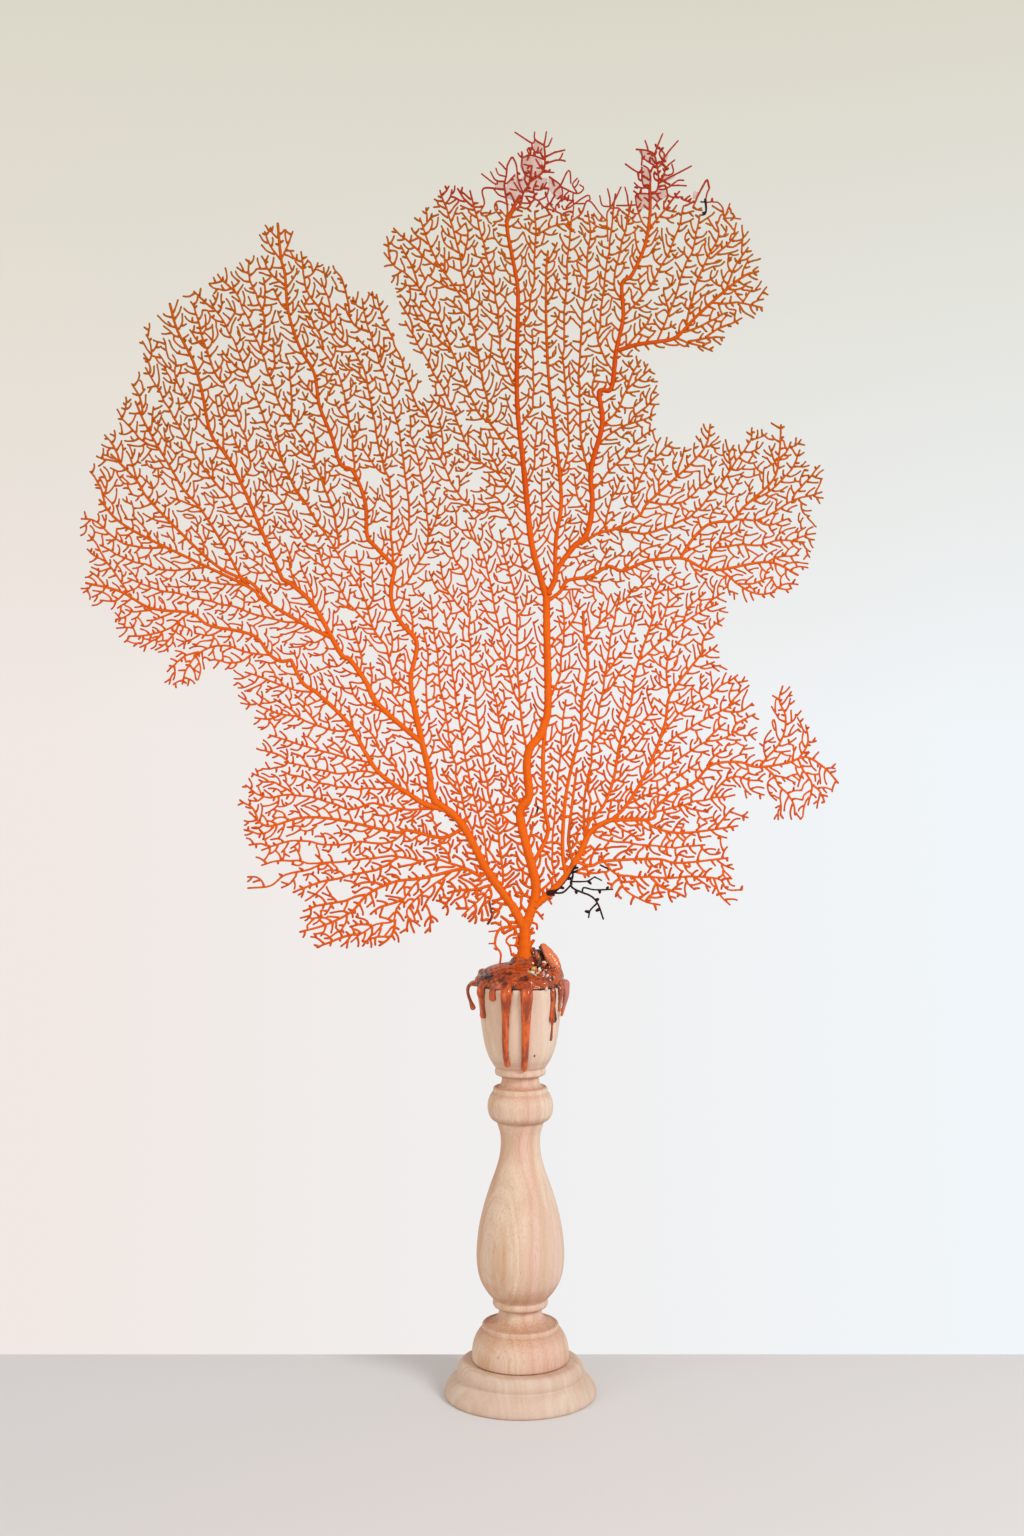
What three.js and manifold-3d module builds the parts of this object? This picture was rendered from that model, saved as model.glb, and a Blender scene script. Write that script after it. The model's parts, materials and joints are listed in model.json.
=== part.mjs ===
// A dried sea fan set with wax in the cup of a turned wooden candlestick.
// Millimetres, +Z up. The origin is the middle of the candlestick's underside, the fan lies in the
// plane y = 0 and faces -Y. The fan is split at its main forks, one mesh for each limb.
import * as THREE from "three";
import { mergeVertices } from "three/addons/utils/BufferGeometryUtils.js";
import Module from "manifold-3d";

// Candlestick: outlines are [radius, height] points from the bottom to the top.
const BASE_RADIUS = 38;
const JOINT_HEIGHT = 17;
const CUP_HEIGHT = 204;
const CUP_RADIUS = 21.8;
const SOCKET_RADIUS = 11;
const SOCKET_DEPTH = 20;
const TENON_RADIUS = 12;
const TENON_LENGTH = 12;
const FIT_GAP = 0.3;
const BASE_SIDES = 32;
const COLUMN_SIDES = 26;

// Wax and the stony lump set in it.
const COLLAR_REACH = 3.6;
const MOUND_HEIGHT = 12.5;
const WAX_SIDES = 20;
const DRIP_RADIUS = 1.5;
const DRIP_SIDES = 5;
const DRIP_STEP = 9;
const HOLDFAST_CENTRE = [15.6, 0.5, 216.5];
const HOLDFAST_RADII = [7.2, 8.2, 9.8];

// Fan: its foot is where the trunk comes out of the wax. Outlines and stems are [x, z] from the foot.
const FOOT_X = 3.3;
const FOOT_Z = 217.5;
const BLADE_THICKNESS = 0.7;
const BLADE_INSET = 0.2;
const TRUNK_RADIUS = 3.3;
const TRUNK_DEPTH = 12;
const FOOT_HALF = TRUNK_RADIUS + BLADE_INSET;
const FOOT_DEPTH = TRUNK_DEPTH + BLADE_INSET;
const STEM_SIDES = 5;
const STEM_STEP = 28;

const WOOD = new THREE.MeshStandardMaterial({ color: 0xe6cbac, roughness: 0.75, metalness: 0 });
const WAX = new THREE.MeshStandardMaterial({ color: 0xa04823, roughness: 0.25, metalness: 0 });
const STONE = new THREE.MeshStandardMaterial({ color: 0xb06a45, roughness: 0.8, metalness: 0 });
const CORAL = new THREE.MeshStandardMaterial({ color: 0xe8672a, roughness: 0.6, metalness: 0 });

// Lines between neighbouring limbs, each drawn once.
const SEAMS = {
  trunkLeft: [[-11, 29], [-0.5, 25]],
  trunkRight: [[-0.5, 25], [9.5, 28]],
  stemLow: [[-11, 29], [-23.5, 35.5], [-32, 48], [-38.5, 58]],
  stemMid: [[-38.5, 58], [-46, 65], [-54.5, 71.5]],
  stemReach: [[-54.5, 71.5], [-56, 79]],
  stemInner: [[-56, 79], [-51, 84], [-43.5, 88]],
  stemCentre: [[-43.5, 88], [-34.5, 81.5], [-24.5, 73], [-17.5, 61.5], [-11, 49], [-5.5, 38]],
  lowMid: [[-38.5, 58], [-63.5, 55], [-88.5, 56.5], [-113.5, 56], [-136, 53]],
  midReach: [[-54.5, 71.5], [-63.5, 76], [-81, 86], [-101, 89], [-124.5, 98]],
  reachInner: [[-56, 79], [-59, 99]],
  reachLong: [[-59, 99], [-74.5, 114], [-88.5, 131.5], [-102.5, 148]],
  reachOuter: [[-102.5, 148], [-132.5, 165], [-161, 174], [-188.5, 183], [-217.5, 195]],
  outerLong: [
    [-102.5, 148], [-107.5, 168], [-123.5, 182.5], [-136, 204], [-151, 233], [-167.5, 256.5],
    [-175.5, 276.5], [-191, 295],
  ],
  longInner: [
    [-59, 99], [-62, 123], [-74.5, 146.5], [-86, 171.5], [-103.5, 196.5], [-116, 224], [-128.5, 254],
    [-138.5, 279], [-146, 304], [-157.5, 327.5], [-164.5, 334.5],
  ],
  innerCentre: [
    [-43.5, 88], [-40.5, 96.5], [-46.5, 129], [-51, 169], [-57, 219], [-58.5, 249], [-55, 278],
  ],
  centreTop: [
    [-45, 282.5], [-36, 281], [-23.5, 261.5], [-9.5, 240], [-4.5, 216.5], [3.5, 179],
  ],
  centreStem: [
    [3.5, 179], [5.5, 154], [4.5, 121.5], [-4.5, 104], [-3.5, 91.5], [-10, 73], [-3.5, 51.5],
    [-2.5, 36],
  ],
  forkTop: [[3.5, 179], [9, 184]],
  forkRight: [[9, 184], [15, 177.5]],
  topTop: [
    [9, 184], [7, 214], [6.5, 239], [3.5, 279], [3.5, 304], [1.5, 346.5], [2.5, 364], [16.5, 370.5],
    [36.5, 377.5],
  ],
  rightOver: [[51.5, 303], [51.5, 312], [59, 317.5], [70.5, 335.5], [81.5, 359], [90, 388]],
  rightMiddle: [
    [15, 177.5], [21.5, 191.5], [31.5, 204], [40.5, 221.5], [56.5, 236.5], [60.5, 249],
    [67.5, 260.5],
  ],
  middleRays: [[15, 177.5], [26.5, 179], [41.5, 183], [61.5, 186], [86.5, 184], [100, 180]],
  stemRays: [[15, 177.5], [16, 154], [15.5, 124], [7, 99], [7, 84], [2.5, 69], [8.5, 50], [9.5, 28]],
  raysOuter: [[47.5, 68], [64, 80.5], [81.5, 95], [94, 101], [111.5, 100.5]],
  raysLow: [[47.5, 68], [35.5, 58], [29, 44], [16.5, 30]],
  outerLow: [[47.5, 68], [66.5, 68], [86.5, 68], [100.5, 64]],
};

// The fan's outer edge, one stretch for each limb.
const EDGES = {
  trunkFoot: [
    [-23.5, 18], [-20, -1], [-FOOT_HALF, 0], [-FOOT_HALF, -FOOT_DEPTH], [FOOT_HALF, -FOOT_DEPTH],
    [FOOT_HALF, 4], [10.5, 16.5], [9.5, 28],
  ],
  lowEdge: [
    [-23.5, 18], [-43.5, 20.5], [-48.5, 13], [-75.5, 6], [-104.5, 5.5], [-115.5, 11], [-111.5, 27.5],
    [-120, 36], [-135, 25], [-143.5, 34], [-136, 44], [-136, 53],
  ],
  midEdge: [[-136, 53], [-141, 60], [-140, 69], [-145, 80], [-143, 89], [-134.5, 95.5], [-124.5, 98]],
  reachEdge: [
    [-124.5, 98], [-135, 104], [-132, 111.5], [-143.5, 129], [-147.5, 144], [-161.5, 146.5],
    [-163.5, 137.5], [-171.5, 134], [-181, 139], [-178.5, 151.5], [-203.5, 157.5], [-207.5, 175],
    [-220, 176.5], [-223.5, 187.5], [-217.5, 195],
  ],
  outerEdge: [
    [-217.5, 195], [-225, 221.5], [-213.5, 223], [-218, 244], [-204.5, 271.5], [-194.5, 289],
    [-191, 295],
  ],
  longEdge: [[-191, 295], [-193.5, 318], [-184.5, 320], [-178.5, 328.5], [-164.5, 334.5]],
  innerEdge: [
    [-164.5, 334.5], [-139.5, 350], [-132, 353], [-135, 362.5], [-124, 368.5], [-115, 365],
    [-117, 354], [-92.5, 343], [-87, 337], [-90, 330], [-79.5, 335.5], [-70.5, 327.5], [-65, 306.5],
    [-53, 288], [-55, 278],
  ],
  centreEdge: [[-55, 278], [-45, 282.5]],
  topEdge: [
    [-45, 282.5], [-51, 292], [-64.5, 320], [-63.5, 333], [-73.5, 348], [-72, 361], [-54.5, 374],
    [-45.5, 373], [-47.5, 387], [-25.5, 388], [-13.5, 400], [-6, 414], [10.5, 415], [19.5, 405],
    [17.5, 396.5], [31.5, 384], [36.5, 377.5],
  ],
  rightEdge: [
    [36.5, 377.5], [40.5, 386], [56.5, 388], [49.5, 398.5], [55.5, 406], [67.5, 414], [76, 410],
    [81.5, 396.5], [80.5, 387], [90, 388],
  ],
  rightFlank: [[51.5, 303], [62.5, 295.5], [66.5, 275], [63, 269], [67.5, 260.5]],
  overEdge: [
    [90, 388], [104.5, 374], [112.5, 356.5], [119.5, 336.5], [119.5, 323], [97.5, 313], [96, 300.5],
    [86.5, 302.5], [76.5, 306], [51.5, 303],
  ],
  middleEdge: [
    [67.5, 260.5], [81.5, 254], [90.5, 270], [96.5, 259], [109, 256.5], [112.5, 268.5], [119, 263],
    [127, 270], [138, 257.5], [138, 249], [149, 245], [151, 230], [141.5, 226.5], [145, 214],
    [138, 189], [131.5, 182.5], [109, 179], [100, 180],
  ],
  raysEdge: [
    [100, 180], [100, 171.5], [92.5, 159], [98, 154], [93.5, 146.5], [109.5, 146], [110.5, 129],
    [117, 120], [111.5, 100.5],
  ],
  outerTip: [
    [111.5, 100.5], [121.5, 115], [124.5, 136.5], [129.5, 137.5], [137, 121.5], [145, 110.5],
    [148, 95], [153, 100], [157.5, 85], [136.5, 68.5], [123.5, 68.5], [121.5, 79], [114, 81.5],
    [99, 79], [110.5, 71.5], [108.5, 62], [100.5, 64],
  ],
  lowTip: [
    [100.5, 64], [103, 39], [111.5, 35], [107, 26], [97.5, 24], [91.5, 32.5], [76.5, 30.5],
    [64, 23.5], [42.5, 31], [40, 18.5], [29.5, 18.5], [28, 30.5], [16.5, 30],
  ],
};

// Stems of each limb: radius at both ends and path.
const STEMS = {
  trunk: [
    { from: 3.3, to: 3.0, path: [[0, -TRUNK_DEPTH], [-0.5, 4], [-1, 15], [-1, 22], [3.5, 27]] },
    { from: 2.8, to: 2.8, path: [[-1, 20], [-7.5, 30]] },
  ],
  left_stem: [
    { from: 2.9, to: 2.5, path: [
      [-5.5, 27.5], [-15, 41.5], [-21, 50], [-26, 60], [-32, 68], [-40, 74], [-47.5, 79.5],
      [-48, 85], [-48.5, 91],
    ] },
    { from: 1.6, to: 1.5, path: [[-43.5, 76.5], [-51, 76.5], [-57.5, 80.5]] },
  ],
  left_low: [
    { from: 1.2, to: 0.8, path: [
      [-19.5, 39], [-30.5, 44], [-44.5, 42.5], [-66.5, 38], [-84, 28], [-101, 16.5], [-113.5, 13],
    ] },
    { from: 1.0, to: 0.7, path: [
      [-34.5, 45], [-44.5, 48.5], [-60, 49.5], [-83.5, 50], [-108.5, 49], [-132.5, 47],
    ] },
  ],
  left_mid: [
    { from: 1.2, to: 0.7, path: [
      [-34.5, 66], [-44.5, 60.5], [-60, 64], [-78.5, 65.5], [-96, 69.5], [-118.5, 71.5], [-136, 79],
    ] },
    { from: 1.0, to: 0.7, path: [
      [-51, 74], [-64, 75], [-77.5, 77.5], [-88, 75], [-101, 78.5], [-118.5, 86.5],
    ] },
  ],
  left_reach: [
    { from: 1.6, to: 0.9, path: [
      [-56.5, 80.5], [-66.5, 88], [-77.5, 97], [-87, 114.5], [-99, 128.5], [-115.5, 143],
      [-123.5, 148.5], [-135.5, 160.5], [-154, 164], [-168.5, 172.5], [-188, 175], [-204, 183.5],
      [-220.5, 190],
    ] },
    { from: 1.0, to: 0.7, path: [[-71, 90.5], [-88, 94.5], [-102, 93.5], [-118.5, 101]] },
  ],
  left_outer: [
    { from: 1.5, to: 0.7, path: [
      [-103, 163], [-118, 171.5], [-132, 179], [-146.5, 189], [-164.5, 203], [-179.5, 219.5],
      [-195, 238.5], [-211, 254],
    ] },
  ],
  left_long: [
    { from: 2.4, to: 0.7, path: [
      [-57.5, 111.5], [-69.5, 122], [-78, 131.5], [-88.5, 149], [-102, 168.5], [-112, 182.5],
      [-125.5, 195.5], [-137, 222], [-147.5, 246], [-160, 271.5], [-167, 298.5], [-178.5, 326.5],
    ] },
  ],
  left_inner: [
    { from: 2.3, to: 0.7, path: [
      [-48, 81.5], [-49, 93.5], [-54, 115.5], [-58.5, 130.5], [-56, 155], [-67, 175], [-66.5, 196.5],
      [-80, 211.5], [-84.5, 236], [-96, 254], [-104, 276.5], [-113, 304], [-120, 329], [-123, 350],
      [-124.5, 367],
    ] },
    { from: 1.2, to: 0.8, path: [
      [-91, 239], [-101.5, 236.5], [-111.5, 258], [-123.5, 276.5], [-135.5, 308.5], [-147.5, 333],
    ] },
  ],
  centre_left: [
    { from: 1.1, to: 0.8, path: [
      [-11, 54], [-15, 71.5], [-18.5, 94], [-24.5, 124], [-28.5, 159], [-30.5, 194], [-32.5, 229],
      [-39.5, 259], [-45, 280],
    ] },
    { from: 1.1, to: 0.8, path: [[-1.5, 99], [-3, 129], [-4.5, 159], [-8.5, 184], [-12, 209]] },
  ],
  centre_stem: [
    { from: 2.5, to: 2.3, path: [
      [4, 29], [5, 43], [0, 59], [-3.5, 69], [1, 81], [0, 96.5], [6.5, 112.5], [10, 129], [10, 159],
      [9.5, 183],
    ] },
  ],
  top_left: [
    { from: 2.2, to: 0.7, path: [
      [8.5, 184], [3.5, 201.5], [0, 225], [-2.5, 259], [-5.5, 279], [-4.5, 319], [-7.5, 351.5],
      [-10, 366.5], [-3.5, 381.5], [4, 412],
    ] },
    { from: 1.0, to: 0.7, path: [
      [0, 229], [-12, 244], [-21, 273.5], [-27.5, 314], [-32.5, 348], [-42, 371.5],
    ] },
  ],
  top_right: [
    { from: 2.0, to: 0.7, path: [
      [11.5, 183], [19, 199], [29.5, 211.5], [31.5, 234], [37.5, 266.5], [36.5, 282.5], [43, 293],
      [47.5, 316.5], [47.5, 337], [59, 356.5], [61.5, 380.5], [67.5, 411],
    ] },
    { from: 1.1, to: 0.7, path: [[14.5, 193], [16.5, 229], [13.5, 274], [10, 314], [10, 356.5]] },
  ],
  overhang: [
    { from: 1.4, to: 0.7, path: [[50.5, 308], [67, 308], [81, 317], [98.5, 333], [115, 340.5]] },
    { from: 1.0, to: 0.7, path: [[79.5, 318], [86, 341], [94.5, 366.5]] },
  ],
  right_middle: [
    { from: 1.4, to: 0.7, path: [
      [15.5, 180], [29, 190.5], [47.5, 193.5], [61.5, 198], [78, 199.5], [96.5, 194], [121.5, 198],
    ] },
    { from: 1.2, to: 0.7, path: [[76.5, 200], [89.5, 216], [108, 226], [123, 239], [134, 249]] },
    { from: 1.1, to: 0.7, path: [[31.5, 205], [44.5, 214], [60.5, 227.5], [78.5, 251.5]] },
  ],
  right_rays: [
    { from: 2.4, to: 0.8, path: [
      [5.5, 27], [16.5, 38], [28.5, 58], [42.5, 70], [55, 85], [65.5, 107], [71.5, 131], [87.5, 154],
    ] },
    { from: 1.4, to: 0.8, path: [
      [20.5, 43], [21.5, 63], [25.5, 100.5], [28.5, 134], [29.5, 159], [39.5, 176.5],
    ] },
  ],
  right_outer: [
    { from: 1.5, to: 0.7, path: [
      [50.5, 69], [64.5, 74], [81.5, 87], [92.5, 95.5], [110.5, 96], [130, 97.5], [154, 89],
    ] },
    { from: 0.9, to: 0.7, path: [[118.5, 97], [127.5, 111.5], [127.5, 133]] },
  ],
  right_low: [
    { from: 1.3, to: 0.7, path: [[41.5, 66], [61.5, 64.5], [81.5, 62.5], [99.5, 56.5]] },
    { from: 1.2, to: 0.7, path: [[28, 46], [45.5, 45], [66.5, 41], [92.5, 40], [109, 34]] },
    { from: 0.9, to: 0.7, path: [[18.5, 32], [23, 36.5], [36.5, 29.5], [35.5, 21]] },
  ],
};

const wasm = await Module();
wasm.setup();

// A closed geometry as a solid that can be joined and cut.
function toSolid(geometry) {
  const bare = geometry.clone();
  bare.deleteAttribute("normal");
  bare.deleteAttribute("uv");
  const merged = mergeVertices(bare, 1e-3);
  const vertProperties = merged.attributes.position.array;
  const triVerts = new Uint32Array(merged.index.array);
  return new wasm.Manifold(new wasm.Mesh({ numProp: 3, vertProperties, triVerts }));
}

// A solid as a named mesh, shaded flat.
function toMesh(name, solid, material) {
  const mesh = solid.getMesh();
  const geometry = new THREE.BufferGeometry();
  geometry.setAttribute("position", new THREE.BufferAttribute(mesh.vertProperties, 3));
  geometry.setIndex(new THREE.BufferAttribute(mesh.triVerts, 1));
  geometry.computeVertexNormals();
  const part = new THREE.Mesh(geometry, material);
  part.name = name;
  return part;
}

// A solid of revolution about +Z from [radius, height] points that start and end on the axis.
function turned(profile, sides) {
  const points = profile.map(([radius, height]) => new THREE.Vector2(radius, height));
  return new THREE.LatheGeometry(points, sides).rotateX(Math.PI / 2);
}

// A round bar along a path of 3-D points, its radius going evenly from one end to the other.
function taperedBar(points, fromRadius, toRadius, sides, step) {
  const curve = new THREE.CatmullRomCurve3(points, false, "centripetal");
  const steps = Math.max(2, Math.round(curve.getLength() / step));
  const section = new THREE.Shape(new THREE.EllipseCurve(0, 0, 1, 1).getPoints(sides).slice(0, -1));
  const options = { steps, extrudePath: curve, bevelEnabled: false };
  const bar = new THREE.ExtrudeGeometry(section, options);
  const centres = curve.getSpacedPoints(steps);
  const position = bar.attributes.position;
  const vertex = new THREE.Vector3();
  for (let i = 0; i < position.count; i++) {
    vertex.fromBufferAttribute(position, i);
    const gaps = centres.map((centre) => Math.abs(centre.distanceTo(vertex) - 1));
    const nearest = gaps.indexOf(Math.min(...gaps));
    const radius = THREE.MathUtils.lerp(fromRadius, toRadius, nearest / steps);
    vertex.sub(centres[nearest]).multiplyScalar(radius).add(centres[nearest]);
    position.setXYZ(i, vertex.x, vertex.y, vertex.z);
  }
  return bar;
}

// Paths joined end to end into one closed outline, shared ends kept once.
function chain(...paths) {
  const points = paths.flat();
  return points.filter(([x, z], i) => {
    const [nextX, nextZ] = points[(i + 1) % points.length];
    return x !== nextX || z !== nextZ;
  });
}

function reversed(path) {
  return [...path].reverse();
}

// The outline moved inwards, each corner along the line that halves it.
function insetOutline(outline, distance) {
  const points = outline.map(([x, z]) => new THREE.Vector2(x, z));
  const inward = THREE.ShapeUtils.isClockWise(points) ? -1 : 1;
  return points.map((point, i) => {
    const before = points[(i + points.length - 1) % points.length];
    const after = points[(i + 1) % points.length];
    const along = point.clone().sub(before).normalize();
    const onward = after.clone().sub(point).normalize();
    const sideA = new THREE.Vector2(-along.y, along.x);
    const sideB = new THREE.Vector2(-onward.y, onward.x);
    const middle = sideA.clone().add(sideB).normalize();
    const reach = distance / Math.max(0.2, middle.dot(sideB));
    return point.clone().addScaledVector(middle, inward * reach);
  });
}

// A plate of the outline's shape, standing in the fan's plane.
function plate(points, thickness) {
  const geometry = new THREE.ExtrudeGeometry(new THREE.Shape(points), {
    depth: thickness,
    bevelEnabled: false,
  });
  geometry.rotateX(Math.PI / 2);
  return geometry.translate(FOOT_X, thickness / 2, FOOT_Z);
}

// One limb: a thin blade that reaches its twigs' tips, and the stems that carry it.
function limb(name, outline) {
  const inset = insetOutline(outline, BLADE_INSET);
  const room = toSolid(plate(inset, 4 * TRUNK_RADIUS));
  let solid = toSolid(plate(inset, BLADE_THICKNESS));
  for (const { from, to, path } of STEMS[name]) {
    const points = path.map(([x, z]) => new THREE.Vector3(FOOT_X + x, 0, FOOT_Z + z));
    const stem = toSolid(taperedBar(points, from, to, STEM_SIDES, STEM_STEP));
    solid = solid.add(stem.intersect(room));
  }
  return solid;
}

const OUTLINES = {
  trunk: chain(
    [[-11, 29]], EDGES.trunkFoot, reversed(SEAMS.trunkRight), reversed(SEAMS.trunkLeft),
  ),
  left_stem: chain(
    SEAMS.trunkLeft, reversed(SEAMS.stemCentre), reversed(SEAMS.stemInner),
    reversed(SEAMS.stemReach), reversed(SEAMS.stemMid), reversed(SEAMS.stemLow),
  ),
  left_low: chain([[-11, 29]], EDGES.lowEdge, reversed(SEAMS.lowMid), reversed(SEAMS.stemLow)),
  left_mid: chain(SEAMS.lowMid, EDGES.midEdge, reversed(SEAMS.midReach), reversed(SEAMS.stemMid)),
  left_reach: chain(
    SEAMS.midReach, EDGES.reachEdge, reversed(SEAMS.reachOuter), reversed(SEAMS.reachLong),
    reversed(SEAMS.reachInner), reversed(SEAMS.stemReach),
  ),
  left_outer: chain(SEAMS.reachOuter, EDGES.outerEdge, reversed(SEAMS.outerLong)),
  left_long: chain(SEAMS.reachLong, SEAMS.outerLong, EDGES.longEdge, reversed(SEAMS.longInner)),
  left_inner: chain(
    SEAMS.reachInner, SEAMS.longInner, EDGES.innerEdge, reversed(SEAMS.innerCentre),
    reversed(SEAMS.stemInner),
  ),
  centre_left: chain(
    SEAMS.innerCentre, EDGES.centreEdge, SEAMS.centreTop, SEAMS.centreStem,
    reversed(SEAMS.stemCentre),
  ),
  centre_stem: chain(
    SEAMS.trunkRight, reversed(SEAMS.stemRays), reversed(SEAMS.forkRight), reversed(SEAMS.forkTop),
    SEAMS.centreStem, [[-5.5, 38]],
  ),
  top_left: chain(
    reversed(SEAMS.forkTop), reversed(SEAMS.centreTop), EDGES.topEdge, reversed(SEAMS.topTop),
  ),
  top_right: chain(
    reversed(SEAMS.forkRight), SEAMS.topTop, EDGES.rightEdge, reversed(SEAMS.rightOver),
    EDGES.rightFlank, reversed(SEAMS.rightMiddle),
  ),
  overhang: chain(SEAMS.rightOver, EDGES.overEdge),
  right_middle: chain(SEAMS.rightMiddle, EDGES.middleEdge, reversed(SEAMS.middleRays)),
  right_rays: chain(
    SEAMS.middleRays, EDGES.raysEdge, reversed(SEAMS.raysOuter), SEAMS.raysLow, [[9.5, 28]],
    reversed(SEAMS.stemRays),
  ),
  right_outer: chain(SEAMS.raysOuter, EDGES.outerTip, reversed(SEAMS.outerLow)),
  right_low: chain(SEAMS.outerLow, EDGES.lowTip, reversed(SEAMS.raysLow)),
};

// The cup's outside, from the bead under it to the rim.
const CUP_WALL = [
  [12.6, 160.5], [12.8, 164], [15.5, 168], [17.5, 173], [18.8, 179.5], [20.3, 190.5],
  [CUP_RADIUS, CUP_HEIGHT],
];

function base() {
  const socket = TENON_RADIUS + FIT_GAP;
  const top = JOINT_HEIGHT - FIT_GAP;
  const floor = JOINT_HEIGHT - TENON_LENGTH - FIT_GAP;
  return turned([
    [0, 0], [BASE_RADIUS, 0], [BASE_RADIUS, 2.2], [37, 4.5], [34.6, 7.6], [31.6, 9.8],
    [31.4, 12.6], [30.4, 15], [28.4, top], [socket, top], [socket, floor], [0, floor],
  ], BASE_SIDES);
}

function column() {
  const tenonEnd = JOINT_HEIGHT - TENON_LENGTH;
  const socketFloor = CUP_HEIGHT - SOCKET_DEPTH;
  return turned([
    [0, tenonEnd], [TENON_RADIUS, tenonEnd], [TENON_RADIUS, JOINT_HEIGHT],
    [24, JOINT_HEIGHT], [24.2, 22], [23.2, 27], [21, 31.5], [18.9, 33.5], [18.6, 35.5],
    [12.5, 38], [10.4, 42], [13.4, 44.5], [13.4, 47.5],
    [18.5, 54], [21.4, 62], [21.9, 71], [20.5, 85.5], [15.6, 102.5], [11, 116.5], [9.8, 125],
    [11.8, 135], [15.6, 138.5], [16.4, 144.7], [14, 149.5], [13.2, 153], [9.4, 157.5],
    ...CUP_WALL,
    [SOCKET_RADIUS, CUP_HEIGHT], [SOCKET_RADIUS, socketFloor], [0, socketFloor],
  ], COLUMN_SIDES);
}

// The cup's outer radius at a height, straight between its wall's points.
function cupRadius(height) {
  const above = CUP_WALL.findIndex(([, z]) => z >= height);
  const [radiusB, heightB] = CUP_WALL[Math.max(1, above)];
  const [radiusA, heightA] = CUP_WALL[Math.max(1, above) - 1];
  return THREE.MathUtils.mapLinear(height, heightA, heightB, radiusA, radiusB);
}

// Wax that ran down the cup: angles in degrees round from -Y towards +X, at the rim and at the end.
const DRIPS = [
  { rim: -52, end: -58, bottom: 190 },
  { rim: -34, end: -36, bottom: 199 },
  { rim: -17, end: -25, bottom: 164.5 },
  { rim: 9, end: 7, bottom: 162 },
  { rim: 44, end: 53, bottom: 179 },
  { rim: 63, end: 66, bottom: 192 },
  { rim: 104, end: 107, bottom: 195 },
  { rim: 138, end: 136, bottom: 181 },
  { rim: 171, end: 174, bottom: 193 },
  { rim: 206, end: 203, bottom: 171 },
  { rim: 243, end: 240, bottom: 191 },
];
const HANGING_DRIP = [[-24.5, 0, 204.5], [-26.4, -0.5, 201.5], [-25.6, -0.5, 197], [-23.9, 0, 192.5]];

function drip({ rim, end, bottom }) {
  const top = CUP_HEIGHT + 1;
  const steps = Math.max(2, Math.round((top - bottom) / DRIP_STEP));
  const points = Array.from({ length: steps + 1 }, (_, i) => {
    const share = i / steps;
    const height = THREE.MathUtils.lerp(top, bottom, share);
    const angle = THREE.MathUtils.degToRad(THREE.MathUtils.lerp(rim, end, share));
    const radius = cupRadius(Math.min(height, CUP_HEIGHT)) + 2 * FIT_GAP + DRIP_RADIUS;
    return new THREE.Vector3(radius * Math.sin(angle), -radius * Math.cos(angle), height);
  });
  return taperedBar(points, DRIP_RADIUS, DRIP_RADIUS, DRIP_SIDES, DRIP_STEP);
}

// The stony lump, grown by a margin: a ball pulled to its three radii, with low swells over it.
function lump(margin) {
  const ball = new THREE.IcosahedronGeometry(1, 2);
  const position = ball.attributes.position;
  const vertex = new THREE.Vector3();
  const radii = new THREE.Vector3(...HOLDFAST_RADII).addScalar(margin);
  for (let i = 0; i < position.count; i++) {
    vertex.fromBufferAttribute(position, i).normalize();
    const swell = Math.sin(4 * vertex.x + 1) * Math.sin(5 * vertex.z) * Math.cos(3 * vertex.y);
    vertex.multiplyScalar(1 + 0.09 * swell).multiply(radii);
    position.setXYZ(i, vertex.x, vertex.y, vertex.z);
  }
  return ball.translate(...HOLDFAST_CENTRE);
}

// The wax: a plug in the socket, a mound over the rim and the drips, hollowed for what stands in it.
function wax() {
  const plug = SOCKET_RADIUS - FIT_GAP;
  const lip = CUP_RADIUS + FIT_GAP;
  const rimTop = CUP_HEIGHT + FIT_GAP;
  const reach = CUP_RADIUS + COLLAR_REACH;
  const body = turned([
    [0, CUP_HEIGHT - SOCKET_DEPTH + FIT_GAP], [plug, CUP_HEIGHT - SOCKET_DEPTH + FIT_GAP],
    [plug, rimTop], [lip, rimTop], [lip, CUP_HEIGHT - 2], [reach - 0.8, CUP_HEIGHT - 2.2],
    [reach, CUP_HEIGHT + 0.8], [reach - 2.2, CUP_HEIGHT + 4.2], [15.5, CUP_HEIGHT + 8.4],
    [8, CUP_HEIGHT + 11.4], [0, CUP_HEIGHT + MOUND_HEIGHT],
  ], WAX_SIDES);
  let solid = toSolid(body);
  for (const place of DRIPS) {
    solid = solid.add(toSolid(drip(place)));
  }
  const hanging = HANGING_DRIP.map((point) => new THREE.Vector3(...point));
  solid = solid.add(toSolid(taperedBar(hanging, 1, 1.4, DRIP_SIDES, 4)));
  const bottom = FOOT_Z - TRUNK_DEPTH - FIT_GAP;
  const hole = TRUNK_RADIUS + 2 * FIT_GAP;
  const bore = turned([[0, bottom], [hole, bottom], [hole, FOOT_Z + 9], [0, FOOT_Z + 9]], 12);
  solid = solid.subtract(toSolid(bore.translate(FOOT_X, 0, 0)));
  return solid.subtract(toSolid(lump(FIT_GAP + 0.15)));
}

const seaFan = new THREE.Group();
seaFan.add(toMesh("base", toSolid(base()), WOOD));
seaFan.add(toMesh("column", toSolid(column()), WOOD));
seaFan.add(toMesh("wax", wax(), WAX));
seaFan.add(toMesh("holdfast", toSolid(lump(0)), STONE));
for (const [name, outline] of Object.entries(OUTLINES)) {
  seaFan.add(toMesh(name, limb(name, outline), CORAL));
}

export default seaFan;
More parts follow.
